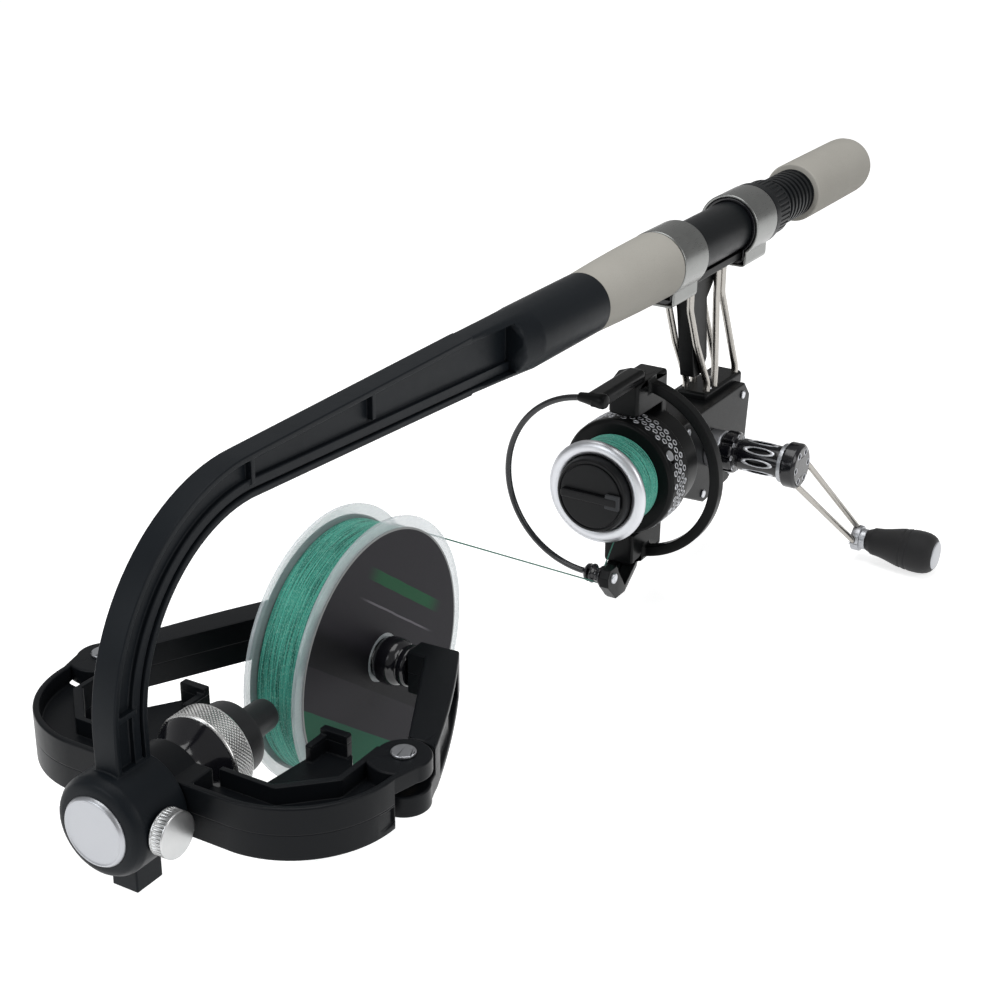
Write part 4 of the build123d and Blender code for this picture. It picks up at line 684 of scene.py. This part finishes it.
# ---------------------------------------------------------------------------------------------
# Arm and hub
# ---------------------------------------------------------------------------------------------
rounded("arm_frame", 0.55, arm_plastic, steps=3, spare=lambda middle: -345.0 < middle.x < -247.0)
cap = turned(
    "X",
    (-537.5, 0.0, HUB_Z),
    [
        (0.0, 11.55), (-0.35, 11.5), (-0.85, 11.2), (-1.25, 10.9), (-1.4, 10.6), (-1.35, 10.35),
        (-1.1, 10.15), (-1.05, 9.6), (-1.12, 5.0), (-1.15, 0.0),
    ],
    96,
)
hand_over(cap, "hub_cap_disc", satin_silver, "handle", ["hub_cap"], 50)
rounded("thumb_screw", 0.25, screw_steel)

# ---------------------------------------------------------------------------------------------
# Yoke, hinges, swing arms and cones
# ---------------------------------------------------------------------------------------------
rounded("yoke_frame", 0.7, yoke_plastic, steps=3)
rounded("hinge_pins", 0.35, satin_silver, steps=3)
rounded("swing_arm_near", 0.8, yoke_plastic, steps=3)
rounded("swing_arm_far", 0.8, yoke_plastic, steps=3)
for side, word in ((-1, "near"), (1, "far")):
    cone = turned(
        "Y",
        (SPOOL_X, 0.0, HUB_Z),
        [(side * distance, radius) for distance, radius in (
            (7.0, 2.1), (7.0, 2.9), (8.5, 4.3), (10.4, 6.3), (11.2, 7.3), (12.2, 8.0), (13.6, 8.4),
            (15.2, 8.5), (16.8, 8.45), (18.2, 8.1), (19.2, 7.5), (19.8, 6.6), (20.2, 6.5), (20.6, 7.1),
            (21.2, 7.3), (22.4, 7.3), (23.0, 7.1), (23.35, 6.7), (23.4, 2.1), (7.0, 2.1),
        )],
    )
    hand_over(cone, f"cone_{word}_turned", gloss_black, f"{word}_cone", [f"cone_{word}"])

# Knob: glossy cone, knurled ring and the brake pad
knob_cone = turned(
    "X",
    (0.0, 0.0, HUB_Z),
    [
        (-502.8, 4.5), (-502.8, 9.1), (-502.4, 9.4), (-500.6, 9.45), (-498.6, 10.3), (-496.4, 11.9),
        (-494.6, 13.4), (-493.4, 14.4), (-492.6, 14.95), (-492.2, 15.2), (-492.2, 4.5), (-502.8, 4.5),
    ],
    96,
)
hand_over(knob_cone, "tension_cone_turned", gloss_black, "tension_knob", ["tension_knob_cone"])
rounded("tension_knob_ring", 0.3, knurl_steel)
pad = turned(
    "X",
    (0.0, 0.0, HUB_Z),
    [
        (-491.2, 4.6), (-491.2, 7.0), (-483.1, 7.0), (-483.1, 12.0), (-482.8, 12.5), (-482.2, 12.7),
        (-475.4, 12.7), (-473.8, 12.4), (-472.9, 11.4), (-472.7, 9.0), (-472.5, 6.6), (-471.6, 5.9),
        (-458.0, 5.5), (-456.7, 5.1), (-456.0, 4.2), (-455.9, 0.0), (-460.0, 0.0), (-460.0, 4.6), (-491.2, 4.6),
    ],
    96,
)
hand_over(pad, "tension_pad_turned", pad_rubber, "tension_slider", ["tension_pad"])

# ---------------------------------------------------------------------------------------------
# Supply spool and its line
# ---------------------------------------------------------------------------------------------
rounded("supply_spool", 0.35, clear_plastic, steps=2)
refinish("supply_labels", label_card)
barrel = turned(
    "Y",
    (SPOOL_X, 0.0, HUB_Z),
    [(-8.9, 24.1), (-8.9, 44.1), (-4.0, 44.25), (4.0, 44.25), (8.9, 44.1), (8.9, 24.1), (-8.9, 24.1)],
    96,
)
hand_over(barrel, "supply_line_body", supply_braid, "supply", ["supply_line_core"])
under = wound("Y", (SPOOL_X, 0.0, HUB_Z), 44.5, 0.25, -8.6, 0.43, 40, 96)
over = wound("Y", (SPOOL_X, 0.0, HUB_Z), 44.72, 0.26, 8.5, -0.567, 30, 96)
across = wound("Y", (SPOOL_X, 0.0, HUB_Z), 44.76, 0.25, -8.0, 3.2, 5, 96)
hand_over(
    joined([under, over, across]),
    "supply_line_turns", supply_braid, "supply", ["supply_line_winding"], 60,
)

# ---------------------------------------------------------------------------------------------
# Handle: grips, seat, hoods and nut
# ---------------------------------------------------------------------------------------------
fore = turned(
    "X",
    (0.0, 0.0, 0.0),
    [
        (-248.0, 8.1), (-248.0, 11.7), (-247.7, 12.3), (-247.0, 12.65), (-240.0, 12.95), (-228.0, 13.45),
        (-214.0, 13.9), (-200.0, 14.2), (-190.0, 14.35), (-185.2, 14.38), (-184.4, 14.1), (-184.05, 13.6),
        (-184.0, 8.1), (-248.0, 8.1),
    ],
    96,
)
hand_over(fore, "fore_grip_foam", grip_foam, "handle", ["fore_grip"], 50)
butt = turned(
    "X",
    (0.0, 0.0, 0.0),
    [
        (-38.0, 8.1), (-38.0, 13.3), (-37.7, 13.8), (-37.0, 14.05), (-20.0, 14.1), (10.0, 14.1),
        (26.0, 14.08), (29.0, 13.9), (32.0, 13.2), (34.4, 11.9), (36.3, 9.8), (37.4, 7.2), (37.9, 4.0),
        (38.0, 0.0), (24.0, 0.0), (24.0, 8.1), (-38.0, 8.1),
    ],
    96,
)
hand_over(butt, "butt_grip_foam", grip_foam, "handle", ["butt_grip"], 50)
rounded("seat_body", 0.22, seat_plastic)
for hood in ("fixed_hood", "sliding_hood"):
    rounded(hood, 0.5, hood_metal, steps=3)
    rounded(hood + "_liner", 0.3, gloss_black)
rounded("lock_nut", 0.22, seat_plastic)
refinish("handle_tube", seat_plastic)

# ---------------------------------------------------------------------------------------------
# Reel body, foot and crank
# ---------------------------------------------------------------------------------------------
rounded("reel_foot", 0.6, body_paint, steps=3)
refinish("reel_stem_rods", rod_steel)
stem_block = plate((39.6, 15.2, 6.6), (-122.6, 0.0, -73.0))
modify(stem_block, "BEVEL", width=1.6 * MM, segments=4, limit_method="ANGLE", angle_limit=radians(40))
stem_studs = [stud(1.3, 1.2, (x, y, -69.6), (0.0, 0.0, 1.0)) for x, y in ((-134.0, -5.0), (-120.5, 0.0))]
hand_over(joined(stem_studs), "stem_studs", bright_silver, "handle")
hand_over(stem_block, "stem_block", body_paint, "handle")
rounded("reel_body", 1.1, body_paint, steps=3)
rounded("reel_side_plate", 1.1, body_paint, steps=3)
rounded("reel_body_screws", 0.2, bright_silver)
rounded("reel_collar", 0.4, satin_silver, steps=3)
rounded("crank_shank", 0.3, gloss_black)
rounded("crank_ring", 0.25, satin_silver)
rounded("crank_cap", 0.45, gloss_black, steps=3)
rounded("crank_bracket", 0.5, satin_silver, steps=3)
refinish("crank_arms", rod_steel)
slot_rims = []
for number in range(8):
    angle = tau * number / 8
    out = Vector((cos(angle), 0.0, sin(angle)))
    centre = Vector((CRANK_X, -37.85, CRANK_Z)) + out * 7.15
    slot_rims.append(ring(1.6, 0.28, centre, out, stretch=4.2, sides=24))
    edge = Vector((CRANK_X, -25.8, CRANK_Z)) + out * 7.6
    slot_rims.append(ring(1.0, 0.25, edge, (0.0, -1.0, 0.0), (0.0, 0.0, 1.0)))
hand_over(joined(slot_rims), "shank_rims", bright_silver, "crank")
cap_rims = []
for number in range(6):
    angle = tau * number / 6
    spot = Vector((CRANK_X, -56.7, CRANK_Z)) + Vector((cos(angle), 0.0, -sin(angle))) * 6.9
    cap_rims.append(ring(1.45, 0.25, spot, (0.0, -1.0, 0.0), (0.0, 0.0, 1.0)))
hand_over(joined(cap_rims), "cap_rims", bright_silver, "crank")
knob = turned(
    "Y",
    (KNOB_X, 0.0, KNOB_Z),
    [
        (-76.3, 1.9), (-76.3, 4.9), (-77.2, 5.3), (-78.2, 5.7), (-79.0, 6.3), (-80.4, 6.45), (-83.0, 6.75),
        (-86.0, 7.4), (-89.0, 8.2), (-91.6, 8.85), (-93.4, 9.2), (-93.8, 9.0), (-94.3, 8.98), (-94.7, 9.3),
        (-96.2, 9.55), (-96.6, 9.35), (-97.1, 9.35), (-97.5, 9.65), (-99.8, 9.8), (-102.4, 9.78),
        (-104.6, 9.5), (-106.4, 8.9), (-107.6, 8.2), (-108.4, 7.3), (-108.8, 6.7), (-108.8, 0.0),
        (-105.8, 0.0), (-105.8, 1.9), (-76.3, 1.9),
    ],
    96,
)
hand_over(knob, "knob_rubber_grip", knob_rubber, "crank_knob", ["knob_grip"])
knob_end = turned(
    "Y",
    (KNOB_X, 0.0, KNOB_Z),
    [(-108.8, 0.0), (-108.8, 6.6), (-109.15, 6.45), (-109.4, 6.0), (-109.6, 4.4), (-109.68, 2.2), (-109.7, 0.0)],
)
hand_over(knob_end, "knob_end_cap", satin_silver, "crank_knob", ["knob_cap"])
refinish("reel_bearings", rod_steel)
refinish("crank_shaft", rod_steel)
refinish("drive_gear", brass)

# ---------------------------------------------------------------------------------------------
# Rotor, bail and roller
# ---------------------------------------------------------------------------------------------
rounded(
    "rotor", 0.6, body_paint, steps=3,
    broad=lambda middle: abs(middle.z - REEL_Z) > 28.0 and abs(middle.y) > 6.9 and abs(middle.y) < 7.1,
    broad_width=1.6,
    unwanted=lambda place: place.y > 7.05 and Vector((place.y, place.z - REEL_Z)).length > 36.0,
)
refinish("pinion_gear", brass)
refinish("bail_wire", wire_lacquer)
rounded("bail_arms", 0.3, body_paint)
sleeve = turned(
    "Y",
    (WIRE_X, 0.0, -43.0),
    [
        (5.6, 1.5), (5.5, 1.75), (5.0, 2.0), (2.0, 2.35), (-1.5, 2.9), (-4.5, 3.3), (-6.2, 3.2),
        (-7.2, 2.6), (-7.6, 1.6), (-7.7, 0.0),
    ],
    32,
)
lever = plate((39.0, 8.6, 4.8), (-221.0, -2.2, -42.4))
modify(lever, "BEVEL", width=2.2 * MM, segments=5, limit_method="ANGLE", angle_limit=radians(40))
hand_over(lever, "bail_lever", body_paint, "bail")
hand_over(sleeve, "wire_sleeve", body_paint, "bail")
rounded("line_roller", 0.25, gloss_black)
roller_screw = turned(
    "Y",
    (WIRE_X, 0.0, ROLLER_Z),
    [(-13.0, 0.0), (-13.0, 2.3), (-13.5, 2.3), (-13.85, 2.1), (-14.0, 1.7), (-13.8, 1.2), (-13.7, 0.0)],
    32,
)
hand_over(roller_screw, "roller_screw", bright_silver, "bail")

# ---------------------------------------------------------------------------------------------
# Reel spool, its line and the drag knob
# ---------------------------------------------------------------------------------------------
rounded("reel_spool", 0.3, body_paint)
lip = turned(
    "X",
    (0.0, 0.0, REEL_Z),
    [
        (-232.5, 17.3), (-232.9, 17.9), (-233.2, 18.9), (-233.25, 19.8), (-233.05, 20.9), (-232.6, 21.8),
        (-231.9, 22.5), (-231.0, 22.85), (-230.2, 22.75), (-229.3, 22.1), (-228.5, 21.0), (-228.2, 20.0),
        (-228.2, 17.3), (-232.5, 17.3),
    ],
    96,
)
hand_over(lip, "spool_lip_ring", bright_silver, "spool_head", ["reel_spool_lip"])
line_body = turned(
    "X",
    (0.0, 0.0, REEL_Z),
    [(-227.95, 15.6), (-227.95, 19.1), (-220.0, 19.2), (-213.05, 19.1), (-213.05, 15.6), (-227.95, 15.6)],
    96,
)
hand_over(line_body, "reel_line_body", reel_braid, "spool_head", ["reel_line_core"])
lower = wound("X", (0.0, 0.0, REEL_Z), 19.42, 0.25, -227.65, 0.45, 32, 72)
upper = wound("X", (0.0, 0.0, REEL_Z), 19.64, 0.26, -213.4, -0.56, 25, 72)
slant = wound("X", (0.0, 0.0, REEL_Z), 19.66, 0.25, -227.3, 2.8, 5, 72)
hand_over(
    joined([lower, upper, slant]),
    "reel_line_turns", reel_braid, "spool_head", ["reel_line_winding"], 60,
)
skirt_angle = radians(149.0)
skirt_out = Vector((0.0, cos(skirt_angle), sin(skirt_angle)))
skirt_spot = Vector((-208.8, 0.0, REEL_Z)) + skirt_out * 26.1
skirt_stud = stud(2.3, 1.0, skirt_spot, skirt_out)
hand_over(skirt_stud, "skirt_stud", bright_silver, "spool_head")
hole_rims = []
for row in range(5):
    for spot in range(28):
        angle = tau * (spot + 0.5 * (row % 2)) / 28
        out = Vector((0.0, cos(angle), sin(angle)))
        centre = Vector((-208.4 + row * 2.0, 0.0, REEL_Z)) + out * 26.0
        if (centre - skirt_spot).length > 3.9:
            hole_rims.append(ring(1.1, 0.36, centre, out, (1.0, 0.0, 0.0), sides=14))
hand_over(joined(hole_rims), "skirt_hole_rims", bright_silver, "spool_head")
refinish("main_shaft", rod_steel)
knob_disc = turned(
    "X",
    (0.0, 0.0, REEL_Z),
    [
        (-223.5, 2.3), (-223.5, 13.9), (-231.9, 13.9), (-231.9, 16.8), (-233.2, 16.8), (-235.6, 16.4),
        (-236.3, 16.1), (-236.7, 15.6), (-236.7, 14.9), (-236.2, 14.7), (-236.2, 14.2), (-236.75, 14.0),
        (-237.0, 13.4), (-237.0, 0.0), (-232.0, 0.0), (-232.0, 2.3), (-223.5, 2.3),
    ],
    96,
)
bar = plate((2.3, 26.4, 3.6), (-238.1, 0.0, REEL_Z))
modify(bar, "BEVEL", width=0.7 * MM, segments=3, limit_method="ANGLE", angle_limit=radians(40))
tab = plate((1.9, 6.6, 6.4), (-238.0, -11.0, REEL_Z))
modify(tab, "BEVEL", width=0.5 * MM, segments=3, limit_method="ANGLE", angle_limit=radians(40))
hand_over(tab, "drag_knob_tab", tab_grey, "drag")
hand_over(joined([knob_disc, bar]), "drag_knob_turned", knob_black, "drag", ["drag_knob"])

# ---------------------------------------------------------------------------------------------
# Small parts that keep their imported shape
# ---------------------------------------------------------------------------------------------
for node in ("hub_axle", "tension_post", "cone_axle_near", "cone_axle_far"):
    refinish(node, rod_steel)
for node in ("hinge_spring_near", "hinge_spring_far"):
    refinish(node, bronze_wire)

# ---------------------------------------------------------------------------------------------
# Floor and light
# ---------------------------------------------------------------------------------------------
def white_to_the_camera(nodes, links, strength):
    """Light Path: 1 for camera, glossy and transmitted rays, times a strength."""
    rays = nodes.new("ShaderNodeLightPath")
    straight = nodes.new("ShaderNodeMath")
    straight.operation = "ADD"
    links.new(rays.outputs["Is Camera Ray"], straight.inputs[0])
    links.new(rays.outputs["Is Transmission Ray"], straight.inputs[1])
    seen = nodes.new("ShaderNodeMath")
    seen.operation = "ADD"
    seen.use_clamp = True
    links.new(straight.outputs[0], seen.inputs[0])
    links.new(rays.outputs["Is Glossy Ray"], seen.inputs[1])
    amount = nodes.new("ShaderNodeMath")
    amount.operation = "MULTIPLY"
    amount.inputs[1].default_value = strength
    links.new(seen.outputs[0], amount.inputs[0])
    return amount.outputs[0]


bpy.ops.object.select_all(action="DESELECT")
bpy.ops.mesh.primitive_plane_add(size=14.0, location=(-0.25, 0.0, cad_box[0].z - 0.0006))
floor = bpy.context.view_layer.objects.active
floor.name = "floor"
floor_paint = bpy.data.materials.new("floor")
floor_paint.use_nodes = True
floor_tree = floor_paint.node_tree
paper = floor_tree.nodes["Principled BSDF"]
paper.inputs["Base Color"].default_value = (0.8, 0.8, 0.8, 1.0)
paper.inputs["Roughness"].default_value = 0.9
paper.inputs["Specular IOR Level"].default_value = 0.0
paper.inputs["Emission Color"].default_value = (1.0, 1.0, 1.0, 1.0)
lift = white_to_the_camera(floor_tree.nodes, floor_tree.links, 0.7)
floor_tree.links.new(lift, paper.inputs["Emission Strength"])
floor.data.materials.append(floor_paint)

world = bpy.data.worlds.new("studio")
scene.world = world
world.use_nodes = True
sky = world.node_tree.nodes["Background"]
sky.inputs["Color"].default_value = (1.0, 1.0, 1.0, 1.0)
sky.inputs["Strength"].default_value = 0.36


def lamp(name, place, power, size, target=(-0.3, 0.0, -0.06), colour=(1.0, 1.0, 1.0)):
    """Soft square lamp that faces the tool."""
    data = bpy.data.lights.new(name, "AREA")
    data.energy = power
    data.size = size
    data.color = colour
    piece = bpy.data.objects.new(name, data)
    scene.collection.objects.link(piece)
    piece.location = place
    piece.rotation_mode = "QUATERNION"
    piece.rotation_quaternion = (Vector(target) - Vector(place)).to_track_quat("-Z", "Y")


lamp("overhead", (-0.35, 0.1, 1.15), 7.0, 0.9)
lamp("near_side", (-0.35, -1.25, 0.5), 4.5, 0.7)
lamp("front", (-1.35, 0.35, 0.55), 3.5, 0.6, colour=(0.94, 0.97, 1.0))
